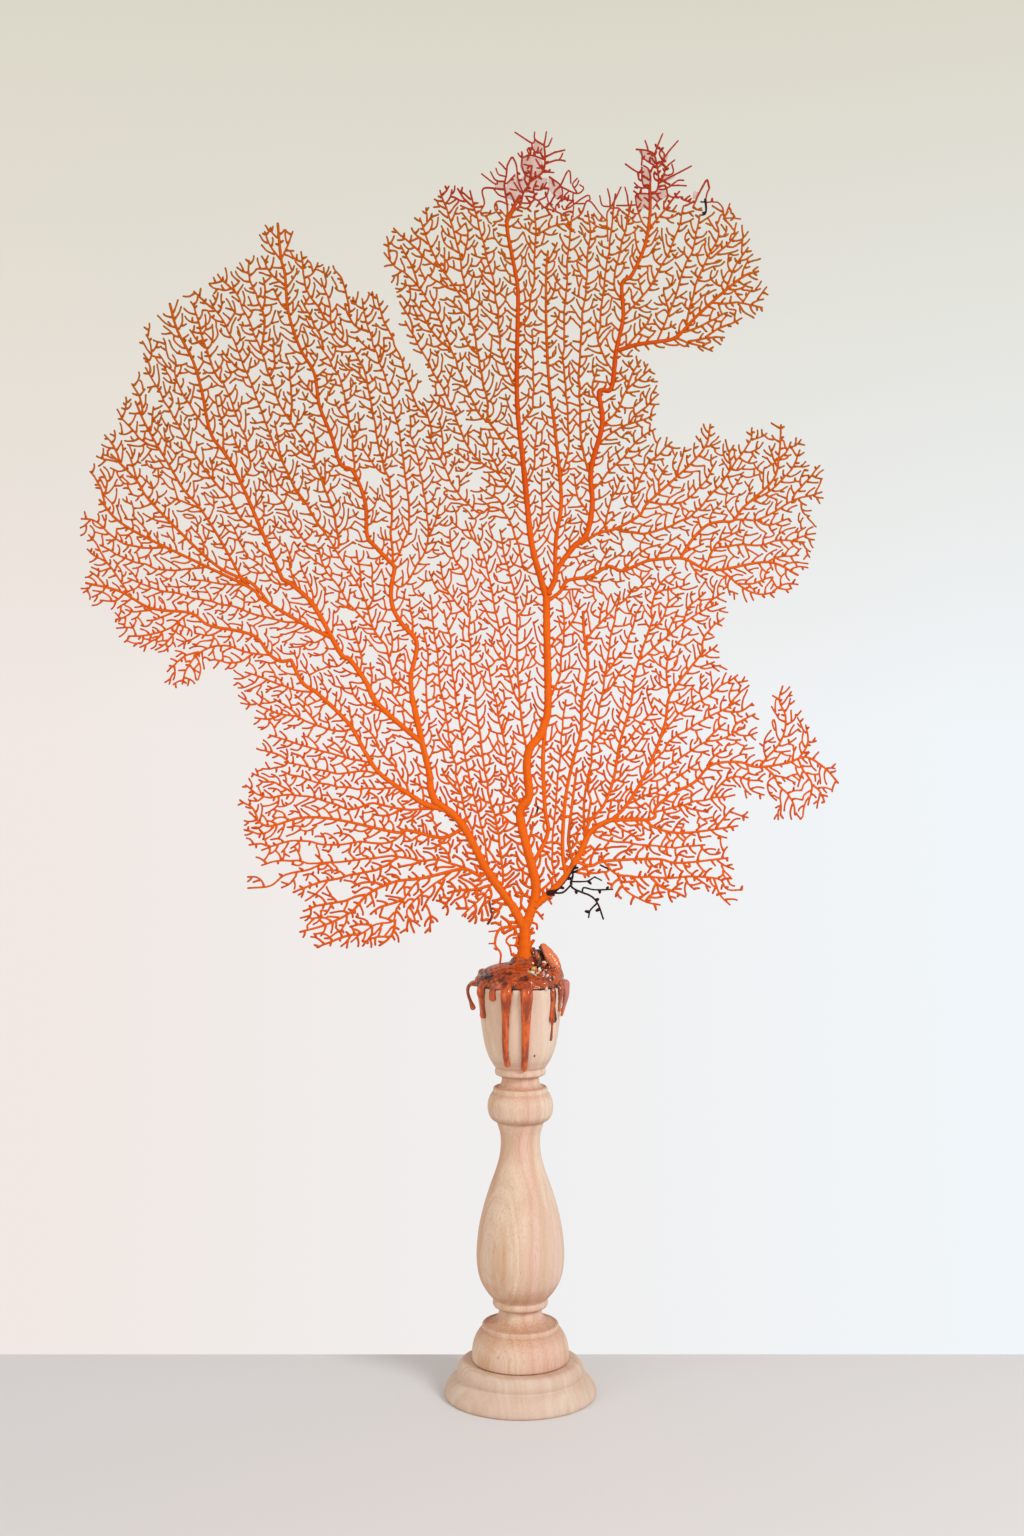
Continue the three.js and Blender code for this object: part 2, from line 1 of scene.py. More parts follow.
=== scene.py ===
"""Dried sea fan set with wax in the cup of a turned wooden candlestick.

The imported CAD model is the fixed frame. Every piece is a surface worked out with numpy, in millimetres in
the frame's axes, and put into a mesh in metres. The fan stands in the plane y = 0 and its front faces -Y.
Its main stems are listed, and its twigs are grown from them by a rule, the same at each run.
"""

import json
import logging
import math
from collections.abc import Iterable, Sequence
from dataclasses import dataclass, field
from enum import Enum
from typing import Any, NamedTuple

import bpy
import numpy as np
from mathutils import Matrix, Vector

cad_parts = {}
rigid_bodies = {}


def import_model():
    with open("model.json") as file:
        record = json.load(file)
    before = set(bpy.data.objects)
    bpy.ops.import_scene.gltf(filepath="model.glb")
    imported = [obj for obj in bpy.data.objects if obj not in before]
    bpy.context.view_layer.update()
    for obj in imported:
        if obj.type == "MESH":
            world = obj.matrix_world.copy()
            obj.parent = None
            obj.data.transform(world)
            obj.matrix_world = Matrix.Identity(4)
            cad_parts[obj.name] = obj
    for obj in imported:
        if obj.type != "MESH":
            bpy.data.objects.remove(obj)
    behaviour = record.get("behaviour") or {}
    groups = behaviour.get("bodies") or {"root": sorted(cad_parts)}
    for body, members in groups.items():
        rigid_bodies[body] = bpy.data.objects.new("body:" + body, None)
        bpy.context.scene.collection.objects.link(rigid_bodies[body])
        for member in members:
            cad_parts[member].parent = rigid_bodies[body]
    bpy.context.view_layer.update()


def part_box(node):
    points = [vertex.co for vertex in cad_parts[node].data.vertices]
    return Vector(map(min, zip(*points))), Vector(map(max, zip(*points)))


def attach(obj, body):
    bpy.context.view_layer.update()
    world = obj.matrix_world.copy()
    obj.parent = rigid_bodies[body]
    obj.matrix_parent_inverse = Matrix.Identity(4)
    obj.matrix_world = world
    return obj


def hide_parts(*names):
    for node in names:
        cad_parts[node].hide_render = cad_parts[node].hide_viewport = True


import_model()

MM = 0.001
LOG = logging.getLogger("sea_fan")


# The level of the cup's rim, from the frame, and the point that the fan's stems are laid out from.
CUP_TOP = float(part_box("column")[1][2]) / MM
FOOT = np.array([3.3, 0.0, CUP_TOP + 13.5])
Path = list[tuple[float, float]]


def pairs(*flat: float) -> Path:
    """Makes a path from numbers written in a row: both coordinates of a point, then of the next."""
    return list(zip(flat[::2], flat[1::2]))


# --------------------------------------------------------------------------------------------------------
# Meshes
# --------------------------------------------------------------------------------------------------------
class Surface(NamedTuple):
    """Points in millimetres with the four-sided and the three-sided faces between them."""

    points: np.ndarray
    quads: np.ndarray
    tris: np.ndarray


class Slot(Enum):
    """The record's material slots."""

    WOOD = "wood"
    WAX = "wax"
    HOLDFAST = "holdfast"
    CORAL = "coral"


def joined(surfaces: Iterable[Surface]) -> Surface:
    """Puts several surfaces into one, with their faces renumbered.

    Args:
        surfaces: the surfaces.

    Returns:
        One surface that holds them all.
    """
    points, quads, tris, count = [], [], [], 0
    for surface in surfaces:
        points.append(surface.points)
        quads.append(surface.quads + count)
        tris.append(surface.tris + count)
        count += len(surface.points)
    return Surface(np.vstack(points), np.vstack(quads), np.vstack(tris))


def add_object(name: str, data: Any) -> bpy.types.Object:
    """Puts new data, such as a mesh or a lamp, into the scene as an object at the origin.

    Args:
        name: the object's name.
        data: what the object shows.

    Returns:
        The object.
    """
    made = bpy.data.objects.new(name, data)
    bpy.context.scene.collection.objects.link(made)
    return made


def store(mesh: bpy.types.Mesh, values: dict[str, np.ndarray]) -> None:
    """Stores numbers that a material reads: for each name, one number a point of the mesh."""
    for key, numbers in values.items():
        layer = mesh.attributes.new(key, "FLOAT", "POINT")
        layer.data.foreach_set("value", numbers.astype(np.float32))


def read(mesh: bpy.types.Mesh, kind: str) -> np.ndarray:
    """Gives three numbers a point of a mesh: its place in metres ("co") or its normal ("normal")."""
    numbers = np.zeros(len(mesh.vertices) * 3, np.float32)
    mesh.vertices.foreach_get(kind, numbers)
    return numbers.reshape(-1, 3)


def write_points(mesh: bpy.types.Mesh, points: np.ndarray) -> None:
    """Puts a mesh's points at places given in millimetres."""
    mesh.vertices.foreach_set("co", (points * MM).astype(np.float32).ravel())


def make_object(name: str, surface: Surface, values: dict[str, np.ndarray] | None = None) -> bpy.types.Object:
    """Puts a surface into a smooth-shaded mesh object at the origin.

    Args:
        name: the object's name.
        surface: the points, in millimetres, and the faces.
        values: one number a point for each attribute that the material reads.

    Returns:
        The object.
    """
    mesh = bpy.data.meshes.new(name)
    mesh.vertices.add(len(surface.points))
    write_points(mesh, surface.points)
    corners = np.concatenate([surface.quads.ravel(), surface.tris.ravel()]).astype(np.int32)
    four, three = len(surface.quads), len(surface.tris)
    starts = np.concatenate([np.arange(four) * 4, four * 4 + np.arange(three) * 3]).astype(np.int32)
    mesh.loops.add(len(corners))
    mesh.loops.foreach_set("vertex_index", corners)
    mesh.polygons.add(len(starts))
    mesh.polygons.foreach_set("loop_start", starts)
    mesh.polygons.foreach_set("use_smooth", np.ones(len(starts), dtype=bool))
    store(mesh, values or {})
    mesh.update(calc_edges=True)
    return add_object(name, mesh)


def melt(name: str, surface: Surface, voxel: float, smooth: int) -> bpy.types.Object:
    """Joins overlapping closed surfaces into one skin, and smooths where they meet.

    Args:
        name: the new object's name.
        surface: closed surfaces that overlap.
        voxel: the size of the skin's cells, in millimetres.
        smooth: how many times the skin is smoothed.

    Returns:
        The object, with the modifiers' result as its mesh.
    """
    rough = make_object(name + "_rough", surface)
    remesh = rough.modifiers.new("skin", "REMESH")
    remesh.mode = "VOXEL"
    remesh.voxel_size = voxel * MM
    remesh.use_smooth_shade = True
    soften = rough.modifiers.new("soften", "SMOOTH")
    soften.factor = 0.5
    soften.iterations = smooth
    solid = rough.evaluated_get(bpy.context.evaluated_depsgraph_get())
    mesh = bpy.data.meshes.new_from_object(solid)
    mesh.name = name
    bpy.data.objects.remove(rough)
    return add_object(name, mesh)


def settle(piece: bpy.types.Object, finish: "Finish", nodes: Sequence[str] = ()) -> None:
    """Gives a piece its material, its body and the CAD nodes that it stands for.

    Args:
        piece: the object.
        finish: its finish.
        nodes: the CAD nodes that it replaces.
    """
    piece.data.materials.clear()
    piece.data.materials.append(finish.material())
    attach(piece, "root")
    if nodes:
        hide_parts(*nodes)
    count, covered = len(piece.data.polygons), ", ".join(nodes) or "nothing"
    LOG.info("%s: %d faces, stands for %s", piece.name, count, covered)


def smooth_path(points: Sequence[Sequence[float]], step: float) -> np.ndarray:
    """Runs a smooth curve (Catmull-Rom) through points and samples it at even steps.

    Args:
        points: the points, in two or three coordinates.
        step: the distance between samples.

    Returns:
        The samples, the first and the last point included.
    """
    given = np.asarray(points, dtype=float)
    ends = np.vstack([2 * given[0] - given[1], given, 2 * given[-1] - given[-2]])
    t = np.linspace(0, 1, 9)[:-1][None, :, None]
    a, b, c, d = (ends[k : len(ends) - 3 + k, None] for k in range(4))
    square, cube = 2 * a - 5 * b + 4 * c - d, 3 * b - a - 3 * c + d
    curve = 0.5 * (2 * b + (c - a) * t + square * t**2 + cube * t**3)
    curve = np.vstack([curve.reshape(-1, given.shape[1]), given[-1:]])
    along = run_length(curve)
    even = np.linspace(0, along[-1], max(2, round(along[-1] / step) + 1))
    return np.column_stack([np.interp(even, along, column) for column in curve.T])


def run_length(points: np.ndarray) -> np.ndarray:
    """Gives each point's distance from the first one along a path."""
    return np.concatenate([[0.0], np.cumsum(np.linalg.norm(np.diff(points, axis=0), axis=1))])


def directions(points: np.ndarray) -> np.ndarray:
    """Gives the unit direction of a path at each of its points."""
    slope = np.gradient(points, axis=0)
    return slope / (np.linalg.norm(slope, axis=1)[:, None] + 1e-9)


def revolve(profile: np.ndarray, sides: int) -> Surface:
    """Turns a profile that starts and ends on the axis about Z.

    The point at angle a on the profile's point (r, z) is (r cos a, r sin a, z).

    Args:
        profile: radius and height, from the axis round the section and back to the axis.
        sides: how many steps make the whole turn.

    Returns:
        A closed surface with one point at each pole, facing out where the profile runs up its outside.
    """
    angle = np.linspace(0, 2 * math.pi, sides, endpoint=False)
    radius, height = profile[1:-1, 0:1], profile[1:-1, 1:2]
    grid = np.stack([radius * np.cos(angle), radius * np.sin(angle), height + 0 * angle], -1)
    return close_rings(grid, np.array([0, 0, profile[0, 1]]), np.array([0, 0, profile[-1, 1]]))


def close_rings(grid: np.ndarray, first: np.ndarray, last: np.ndarray) -> Surface:
    """Joins rings of points into a tube and closes it with a pole at each end.

    Args:
        grid: the rings, as an array of rings by points by three.
        first: the pole before the first ring.
        last: the pole after the last ring.

    Returns:
        The closed surface.
    """
    rings, sides = grid.shape[:2]
    index = np.arange(rings * sides).reshape(rings, sides)
    turned = np.roll(index, -1, axis=1)
    quads = np.stack([index[:-1], turned[:-1], turned[1:], index[1:]], -1).reshape(-1, 4)
    start = np.stack([turned[0], index[0], np.full(sides, rings * sides)], -1)
    end = np.stack([index[-1], turned[-1], np.full(sides, rings * sides + 1)], -1)
    points = np.vstack([grid.reshape(-1, 3), first, last])
    return Surface(points, quads, np.vstack([start, end]))


def blob(centre: Sequence[float], radii: Sequence[float], wobble: float, seed: int,
         rings: int = 18) -> Surface:
    """Makes a lumpy ellipsoid: each direction's reach is one plus a sum of sine waves across it.

    Args:
        centre: its middle.
        radii: its half sizes along X, Y and Z.
        wobble: how far the lumps rise, as a share of the radii.
        seed: picks the lumps.
        rings: rings of points between its poles.

    Returns:
        The closed surface.
    """
    rng = np.random.default_rng(seed)
    lift = np.linspace(-math.pi / 2, math.pi / 2, rings + 2)[1:-1][:, None]
    turn = np.linspace(0, 2 * math.pi, 2 * rings, endpoint=False)[None, :]
    way = np.stack([np.cos(lift) * np.cos(turn), np.cos(lift) * np.sin(turn), np.sin(lift) + 0 * turn], -1)
    waves = rng.normal(0, 3.0, (7, 3))
    phases = rng.uniform(0, 2 * math.pi, 7)

    def reach(v: np.ndarray) -> np.ndarray:
        """Scales directions by their lumps."""
        lumps = np.sin(v @ waves.T + phases).sum(-1, keepdims=True) / 7
        return v * (1 + 2 * wobble * lumps) * np.array(radii) + np.array(centre)

    poles = reach(np.array([[0, 0, -1.0], [0, 0, 1.0]]))
    return close_rings(reach(way), poles[0], poles[1])


def rope(path: Sequence[Sequence[float]], radii: Sequence[float], sides: int = 14,
         step: float = 0.6) -> Surface:
    """Carries a circle of changing radius along a smooth path.

    Args:
        path: points of the path, in three coordinates.
        radii: the circle's radius at those points.
        sides: points of the circle.
        step: distance between circles.

    Returns:
        The closed surface, round at both ends.
    """
    line = smooth_path(path, step)
    knots = run_length(smooth_path(path, 0.1))
    marks = np.linspace(0, 1, len(radii)) * knots[-1]
    radius = np.interp(run_length(line), marks, radii)
    way = directions(line)
    line = np.vstack([line[0] - way[0] * radius[0] * 0.6, line, line[-1] + way[-1] * radius[-1] * 0.6])
    radius = np.concatenate([[radius[0] * 0.75], radius, [radius[-1] * 0.75]])
    way = np.vstack([way[:1], way, way[-1:]])
    side = np.cross(way, [0.31, 0.92, 0.24])
    side /= np.linalg.norm(side, axis=1)[:, None]
    other = np.cross(way, side)
    angle = np.linspace(0, 2 * math.pi, sides, endpoint=False)[None, :, None]
    spokes = side[:, None] * np.cos(angle) + other[:, None] * np.sin(angle)
    grid = line[:, None] + radius[:, None, None] * spokes
    first = line[0] - way[0] * radius[0] * 0.45
    last = line[-1] + way[-1] * radius[-1] * 0.45
    return close_rings(grid, first, last)


# --------------------------------------------------------------------------------------------------------
# Finishes
# --------------------------------------------------------------------------------------------------------
def srgb(red: int, green: int, blue: int) -> tuple[float, float, float, float]:
    """Turns a colour of 0 to 255 a channel into the linear one that shaders take."""
    parts = [v / 255 for v in (red, green, blue)]
    return (*[v / 12.92 if v <= 0.04045 else ((v + 0.055) / 1.055) ** 2.4 for v in parts], 1.0)


class Value:
    """A number that varies over a surface. Sums written with it add Math nodes."""

    def __init__(self, shader: "Shader", socket: bpy.types.NodeSocket) -> None:
        """Wraps a socket of a shader's tree."""
        self.shader = shader
        self.socket = socket

    def _maths(self, operation: str, first: Any, second: Any) -> "Value":
        """Adds one Math node and gives its result."""
        made = self.shader.node("ShaderNodeMath", {"operation": operation}, {0: first, 1: second})
        return Value(self.shader, made.outputs[0])

    def __add__(self, other: Any) -> "Value":
        """Adds."""
        return self._maths("ADD", self, other)

    def __radd__(self, other: Any) -> "Value":
        """Adds to a number."""
        return self._maths("ADD", other, self)

    def __sub__(self, other: Any) -> "Value":
        """Subtracts."""
        return self._maths("SUBTRACT", self, other)

    def __rsub__(self, other: Any) -> "Value":
        """Subtracts from a number."""
        return self._maths("SUBTRACT", other, self)

    def __mul__(self, other: Any) -> "Value":
        """Multiplies."""
        return self._maths("MULTIPLY", self, other)

    def __rmul__(self, other: Any) -> "Value":
        """Multiplies a number."""
        return self._maths("MULTIPLY", other, self)

    def __truediv__(self, other: Any) -> "Value":
        """Divides."""
        return self._maths("DIVIDE", self, other)

    def __pow__(self, other: Any) -> "Value":
        """Raises to a power."""
        return self._maths("POWER", self, other)

    def root(self) -> "Value":
        """Takes the square root."""
        return self._maths("SQRT", self, 0.0)

    def band(self, low: float, high: float) -> "Value":
        """Rises smoothly from 0 at low to 1 at high, or falls where low is above high."""
        flip = low > high
        made = self.shader.node(
            "ShaderNodeMapRange",
            {"interpolation_type": "SMOOTHSTEP"},
            {"Value": self, "From Min": min(low, high), "From Max": max(low, high)},
        )
        rise = Value(self.shader, made.outputs[0])
        return 1 - rise if flip else rise


def add_node(tree: bpy.types.NodeTree, kind: str, settings: dict[str, Any],
             inputs: dict[Any, Any]) -> bpy.types.Node:
    """Adds one node to a material's or a world's tree.

    Args:
        tree: the tree.
        kind: the node's type.
        settings: its properties, which are set first.
        inputs: a value, a Value or a socket for each of its inputs, by name or number.

    Returns:
        The node.
    """
    made = tree.nodes.new(kind)
    for key, value in settings.items():
        setattr(made, key, value)
    for key, value in inputs.items():
        source = value.socket if isinstance(value, Value) else value
        if isinstance(source, bpy.types.NodeSocket):
            tree.links.new(source, made.inputs[key])
        else:
            made.inputs[key].default_value = source
    return made


class Shader:
    """A material under construction."""

    def __init__(self, name: str) -> None:
        """Starts a material with only its output node."""
        self.material = bpy.data.materials.new(name)
        self.material.use_nodes = True
        self.tree = self.material.node_tree
        self.tree.nodes.clear()

    def node(self, kind: str, settings: dict[str, Any], inputs: dict[Any, Any]) -> bpy.types.Node:
        """Adds one node to the material, as add_node does."""
        return add_node(self.tree, kind, settings, inputs)

    def place(self, scale: Sequence[float] = (1, 1, 1),
              shift: Sequence[float] = (0, 0, 0)) -> bpy.types.NodeSocket:
        """Gives object coordinates in millimetres, stretched and shifted."""
        here = self.node("ShaderNodeTexCoord", {}, {}).outputs["Object"]
        size = tuple(s / MM for s in scale)
        inputs = {"Vector": here, "Scale": size, "Location": tuple(shift)}
        return self.node("ShaderNodeMapping", {}, inputs).outputs[0]

    def axes(self) -> tuple[Value, Value, Value]:
        """Gives x, y and z in millimetres."""
        parts = self.node("ShaderNodeSeparateXYZ", {}, {"Vector": self.place()})
        return tuple(Value(self, parts.outputs[k]) for k in range(3))

    def noise(self, scale: Sequence[float], detail: float = 3.0, rough: float = 0.55,
              shift: float = 0.0) -> Value:
        """Gives cloudy noise from 0 to 1, with so many waves a millimetre along each axis."""
        place = self.place(scale, (shift, shift * 0.7, shift * 1.3))
        settings = {"Vector": place, "Scale": 1.0, "Detail": detail, "Roughness": rough}
        return Value(self, self.node("ShaderNodeTexNoise", {}, settings).outputs[0])

    def layers(self, depth: Value) -> Value:
        """Gives uneven layers from 0 to 1 along a depth, about one for each unit."""
        settings = {"W": depth, "Scale": 1.0, "Detail": 1.5, "Roughness": 0.5}
        return Value(self, self.node("ShaderNodeTexNoise", {"noise_dimensions": "1D"}, settings).outputs[0])

    def cells(self, scale: Sequence[float]) -> Value:
        """Gives the distance to the nearest of scattered points."""
        made = self.node("ShaderNodeTexVoronoi", {}, {"Vector": self.place(scale), "Scale": 1.0})
        return Value(self, made.outputs["Distance"])

    def attribute(self, name: str) -> Value:
        """Gives a number stored on the mesh."""
        made = self.node("ShaderNodeAttribute", {"attribute_name": name}, {})
        return Value(self, made.outputs["Fac"])

    def mix(self, share: Any, first: Any, second: Any) -> bpy.types.NodeSocket:
        """Mixes two colours by a share."""
        made = self.node("ShaderNodeMix", {"data_type": "RGBA"}, {0: share, 6: first, 7: second})
        return made.outputs[2]

    def bump(self, height: Value, depth: float) -> bpy.types.NodeSocket:
        """Turns a height of 0 to 1 into a normal, with the depth in millimetres."""
        settings = {"Height": height, "Distance": depth * MM, "Strength": 1.0}
        return self.node("ShaderNodeBump", {}, settings).outputs[0]

    def finish(self, inputs: dict[str, Any]) -> bpy.types.Material:
        """Ends the material with one Principled shader that has these inputs."""
        skin = self.node("ShaderNodeBsdfPrincipled", {}, inputs)
        self.node("ShaderNodeOutputMaterial", {}, {"Surface": skin.outputs[0]})
        return self.material


@dataclass(frozen=True)
class Finish:
    """The look of a surface, made once and shared by the pieces that have it."""

    name: str

    def material(self) -> bpy.types.Material:
        """Gives the material, made at the first call."""
        return bpy.data.materials.get(self.name) or self.build(Shader(self.name))

    def build(self, shader: Shader) -> bpy.types.Material:
        """Fills the shader's tree."""
        raise NotImplementedError


@dataclass(frozen=True)
class RawBeech(Finish):
    """Pale turned wood with its grain along Z.

    The year rings are cylinders about a pith that lies beside the piece, so that they show as streaks, and
    as arches where the surface turns away from the pith.
    """

    light: tuple = srgb(228, 204, 180)
    warm: tuple = srgb(206, 162, 126)
    pink: tuple = srgb(222, 184, 164)
    streak: tuple = srgb(176, 116, 78)
    grey: tuple = srgb(204, 188, 174)
    shine: tuple = srgb(244, 226, 206)
    # Paler tone for the bell's right side: partly painted light from the right, partly the wood's own paler
    # tone.
    lit_right_pale: tuple = srgb(232, 218, 206)
    chip: tuple = srgb(74, 34, 18)
    pith: tuple[float, float] = (-35.0, -37.0)
    ring: float = 3.4

    def build(self, shader: Shader) -> bpy.types.Material:
        """Mixes ring bands, broad patches, fine fibres and dark flecks, darkens the end grain, and paints
        light on the bell's right side.
        """
        x, y, z = shader.axes()
        sway = shader.noise((0.03, 0.03, 0.008), 2.0) - 0.5
        fine = shader.noise((0.16, 0.16, 0.02), 3.0, shift=7.0) - 0.5
        away = ((x - self.pith[0]) ** 2 + (y - self.pith[1]) ** 2).root()
        away = away + 14 * sway + 3.2 * fine + 0.03 * z
        wave = shader.layers(away / self.ring).band(0.36, 0.64)
        close = shader.layers(away / 0.7 + 40).band(0.35, 0.65)
        patch = shader.noise((0.05, 0.05, 0.008), 2.0, shift=3.0)
        other = shader.noise((0.11, 0.11, 0.012), 2.0, shift=13.0)
        fibre = shader.noise((2.4, 2.4, 0.06), 5.0, 0.7)
        thread = shader.noise((5.5, 5.5, 0.2), 3.0, 0.6, 9.0)
        pores = shader.cells((1.5, 1.5, 0.42)).band(0.26, 0.1)
        pores = pores * shader.noise((0.4, 0.4, 0.1), 1.0).band(0.35, 0.6)
        end = shader.attribute("end").band(0.25, 0.8)
        colour = shader.mix(patch.band(0.35, 0.62), self.light, self.pink)
        colour = shader.mix(other.band(0.45, 0.7) * 0.5, colour, self.warm)
        colour = shader.mix(wave * (0.2 + 0.4 * other.band(0.3, 0.7)), colour, self.warm)
        colour = shader.mix((wave * close).band(0.3, 1.0) * 0.16, colour, self.streak)
        colour = shader.mix(fibre.band(0.46, 0.72) * 0.46, colour, self.streak)
        colour = shader.mix(thread.band(0.5, 0.78) * 0.3, colour, self.warm)
        colour = shader.mix(thread.band(0.46, 0.24) * 0.2, colour, self.shine)
        colour = shader.mix(pores * 0.4, colour, self.streak)
        colour = shader.mix(z.band(17.4, 16.4) * 0.42, colour, self.grey)
        colour = shader.mix(z.band(158, 168) * 0.3, colour, self.light)
        # Partly painted light: the bell's right side is made paler as if lit from the right, partly the
        # wood's own paler tone there.
        colour = shader.mix(x.band(-4, 22) * z.band(17, 40) * 0.34, colour, self.lit_right_pale)
        colour = shader.mix(end * z.band(16, 18) * (0.25 + 0.6 * fibre.band(0.4, 0.66)), colour, self.streak)
        near = ((x + 10.6) ** 2 + (y + 20.8) ** 2 + (z - 24.6) ** 2).root()
        colour = shader.mix(near.band(0.75, 0.35) * 0.85, colour, self.chip)
        height = fibre * 0.6 + thread * 0.3
        return shader.finish({
            "Base Color": colour,
            "Roughness": 0.62 + fibre * 0.16,
            "Normal": shader.bump(height, 0.06),
            "Specular IOR Level": 0.3,
        })


@dataclass(frozen=True)
class MeltedWax(Finish):
    """Glossy orange-brown wax with black-brown streaks and a black patch, with painted shade in its creases
    and at its edges.
    """

    bright: tuple = srgb(222, 96, 26)
    deep: tuple = srgb(150, 58, 16)
    black: tuple = srgb(28, 14, 9)
    rose: tuple = srgb(186, 122, 110)

    def build(self, shader: Shader) -> bpy.types.Material:
        """Mixes streaks that run down with the black patch and the painted shade that the mesh marks."""
        x, y, z = shader.axes()
        cloud = shader.noise((0.4, 0.4, 0.12), 4.0, 0.6)
        streaks = shader.noise((1.3, 1.3, 0.28), 3.0, 0.6, 5.0)
        swirl = shader.noise((0.17, 0.17, 0.26), 3.0, 0.55, 8.0)
        mound = z.band(CUP_TOP - 1, CUP_TOP + 3)
        # Painted shade in the creases, under the pool's edge and along the drips' borders, with one real
        # black patch of wax.
        dark = shader.attribute("crease")
        speckle = shader.noise((2.2, 2.2, 1.6), 2.0, 0.6, 11.0).band(0.6, 0.7)
        colour = shader.mix(cloud.band(0.38, 0.62), self.bright, self.deep)
        colour = shader.mix(mound * 0.45, colour, self.deep)
        colour = shader.mix(swirl.band(0.52, 0.62) * mound * 0.8, colour, self.black)
        colour = shader.mix(streaks.band(0.58, 0.7) * mound * 0.35, colour, self.black)
        colour = shader.mix(speckle * 0.35, colour, self.deep)
        colour = shader.mix(dark.band(0.2, 0.75), colour, self.black)
        colour = shader.mix(shader.attribute("rose"), colour, self.rose)
        return shader.finish({
            "Base Color": colour,
            "Roughness": 0.16 + streaks * 0.14,
            "Normal": shader.bump(streaks * 0.5 + speckle * 0.2, 0.06),
            "Coat Weight": 0.55,
            "Coat Roughness": 0.04,
            "Specular IOR Level": 0.3,
        })


@dataclass(frozen=True)
class CrustyRoot(Finish):
    """The fan's root: a smooth orange petal with rosy patches beside a dark brown, crusty one."""

    bright: tuple = srgb(226, 106, 34)
    rosy: tuple = srgb(206, 122, 84)
    brown: tuple = srgb(96, 44, 22)
    black: tuple = srgb(30, 16, 11)

    def build(self, shader: Shader) -> bpy.types.Material:
        """Splits the two petals along a slanting line and mixes each from two colours."""
        x, y, z = shader.axes()
        cloud = shader.noise((0.22, 0.22, 0.22), 4.0, 0.6)
        grit = shader.noise((1.5, 1.5, 1.5), 4.0, 0.7, 4.0)
        side = (10.4 + (222 - z) * 0.3 - x).band(-0.25, 0.5)
        petal = shader.mix(cloud.band(0.5, 0.64) * 0.6, self.bright, self.rosy)
        petal = shader.mix(z.band(219, 208) * 0.85 * grit.band(0.35, 0.6), petal, self.brown)
        petal = shader.mix(grit.band(0.58, 0.68) * 0.5, petal, self.brown)
        crust = shader.mix(grit.band(0.45, 0.62), self.brown, self.black)
        crust = shader.mix(cloud.band(0.56, 0.68) * 0.6, crust, self.bright)
        colour = shader.mix(side, petal, crust)
        # Painted shade along the seam between the petals and on the sides that face left and right.
        colour = shader.mix(shader.attribute("crease"), colour, self.black)
        return shader.finish({
            "Base Color": colour,
            "Roughness": 0.2 + grit * 0.25,
            "Normal": shader.bump(grit, 0.16),
            "Coat Weight": 0.5,
            "Coat Roughness": 0.08,
        })


@dataclass(frozen=True)
class Grit(Finish):
    """Crumbs of shell, sand and wax: white, gold, red or dark by the number stored on each."""

    stain: tuple = srgb(120, 70, 44)

    def build(self, shader: Shader) -> bpy.types.Material:
        """Picks a colour a crumb from a stepped ramp."""
        kind = shader.attribute("kind")
        ramp = shader.node("ShaderNodeValToRGB", {}, {"Fac": kind})
        steps = [(0.0, srgb(236, 226, 208)), (0.3, srgb(214, 176, 96)), (0.5, srgb(196, 70, 44)),
                 (0.72, srgb(66, 32, 22)), (0.88, srgb(226, 196, 186))]
        stops = ramp.color_ramp
        stops.interpolation = "CONSTANT"
        for place, colour in steps[2:]:
            stops.elements.new(place).color = colour
        for stop, (place, colour) in zip(stops.elements, steps):
            stop.position = place
            stop.color = colour
        cloud = shader.noise((2.5, 2.5, 2.5), 2.0)
        colour = shader.mix(cloud.band(0.45, 0.75) * 0.5, ramp.outputs[0], self.stain)
        return shader.finish({
            "Base Color": colour,
            "Roughness": 0.25 + cloud * 0.3,
            "Normal": shader.bump(cloud, 0.1),
        })


@dataclass(frozen=True)
class DriedCoral(Finish):
    """The fan's rind.

    It is bright orange on the stems and rose on the low twigs, and turns to ochre upwards, olive at the tips
    of the upper twigs, and crimson at the crown. Some twigs have died black.
    """

    stem: tuple = srgb(226, 98, 14)
    high_stem: tuple = srgb(196, 68, 0)
    low: tuple = srgb(224, 94, 16)
    high: tuple = srgb(186, 88, 0)
    low_tip: tuple = srgb(194, 68, 20)
    high_tip: tuple = srgb(156, 92, 0)
    crown: tuple = srgb(164, 48, 24)
    dead: tuple = srgb(50, 24, 24)
    # Pale flecks painted as highlights on the grain.
    pale: tuple = srgb(240, 128, 40)
    rust: tuple = srgb(150, 56, 10)

    def build(self, shader: Shader) -> bpy.types.Material:
        """Mixes colours by the height, the thickness, the closeness to a tip and a little noise, whose pale
        flecks are painted highlights.
        """
        x, y, z = shader.axes()
        cloud = shader.noise((0.03, 0.03, 0.03), 3.0)
        grain = shader.noise((1.6, 1.6, 1.6), 3.0, 0.6, 3.0)
        raised = (z - 380 + (cloud - 0.5) * 120).band(-30, 130)
        twig = shader.mix(raised, self.low, self.high)
        tips = shader.mix(raised, self.low_tip, self.high_tip)
        colour = shader.mix(shader.attribute("tip").band(0.35, 1.0) * 0.75, twig, tips)
        stems = shader.mix(raised, self.stem, self.high_stem)
        colour = shader.mix(shader.attribute("thick").band(0.16, 0.45), colour, stems)
        colour = shader.mix(shader.attribute("crown").band(0.2, 0.9), colour, self.crown)
        # Painted highlights: pale flecks on the grain.
        colour = shader.mix(grain.band(0.5, 0.8) * 0.16, colour, self.pale)
        colour = shader.mix(grain.band(0.5, 0.25) * 0.25, colour, self.rust)
        colour = shader.mix(shader.attribute("dead").band(0.3, 0.7), colour, self.dead)
        return shader.finish({
            "Base Color": colour,
            "Roughness": 0.55 + grain * 0.25,
            "Normal": shader.bump(grain, 0.06),
            "Specular IOR Level": 0.1,
        })


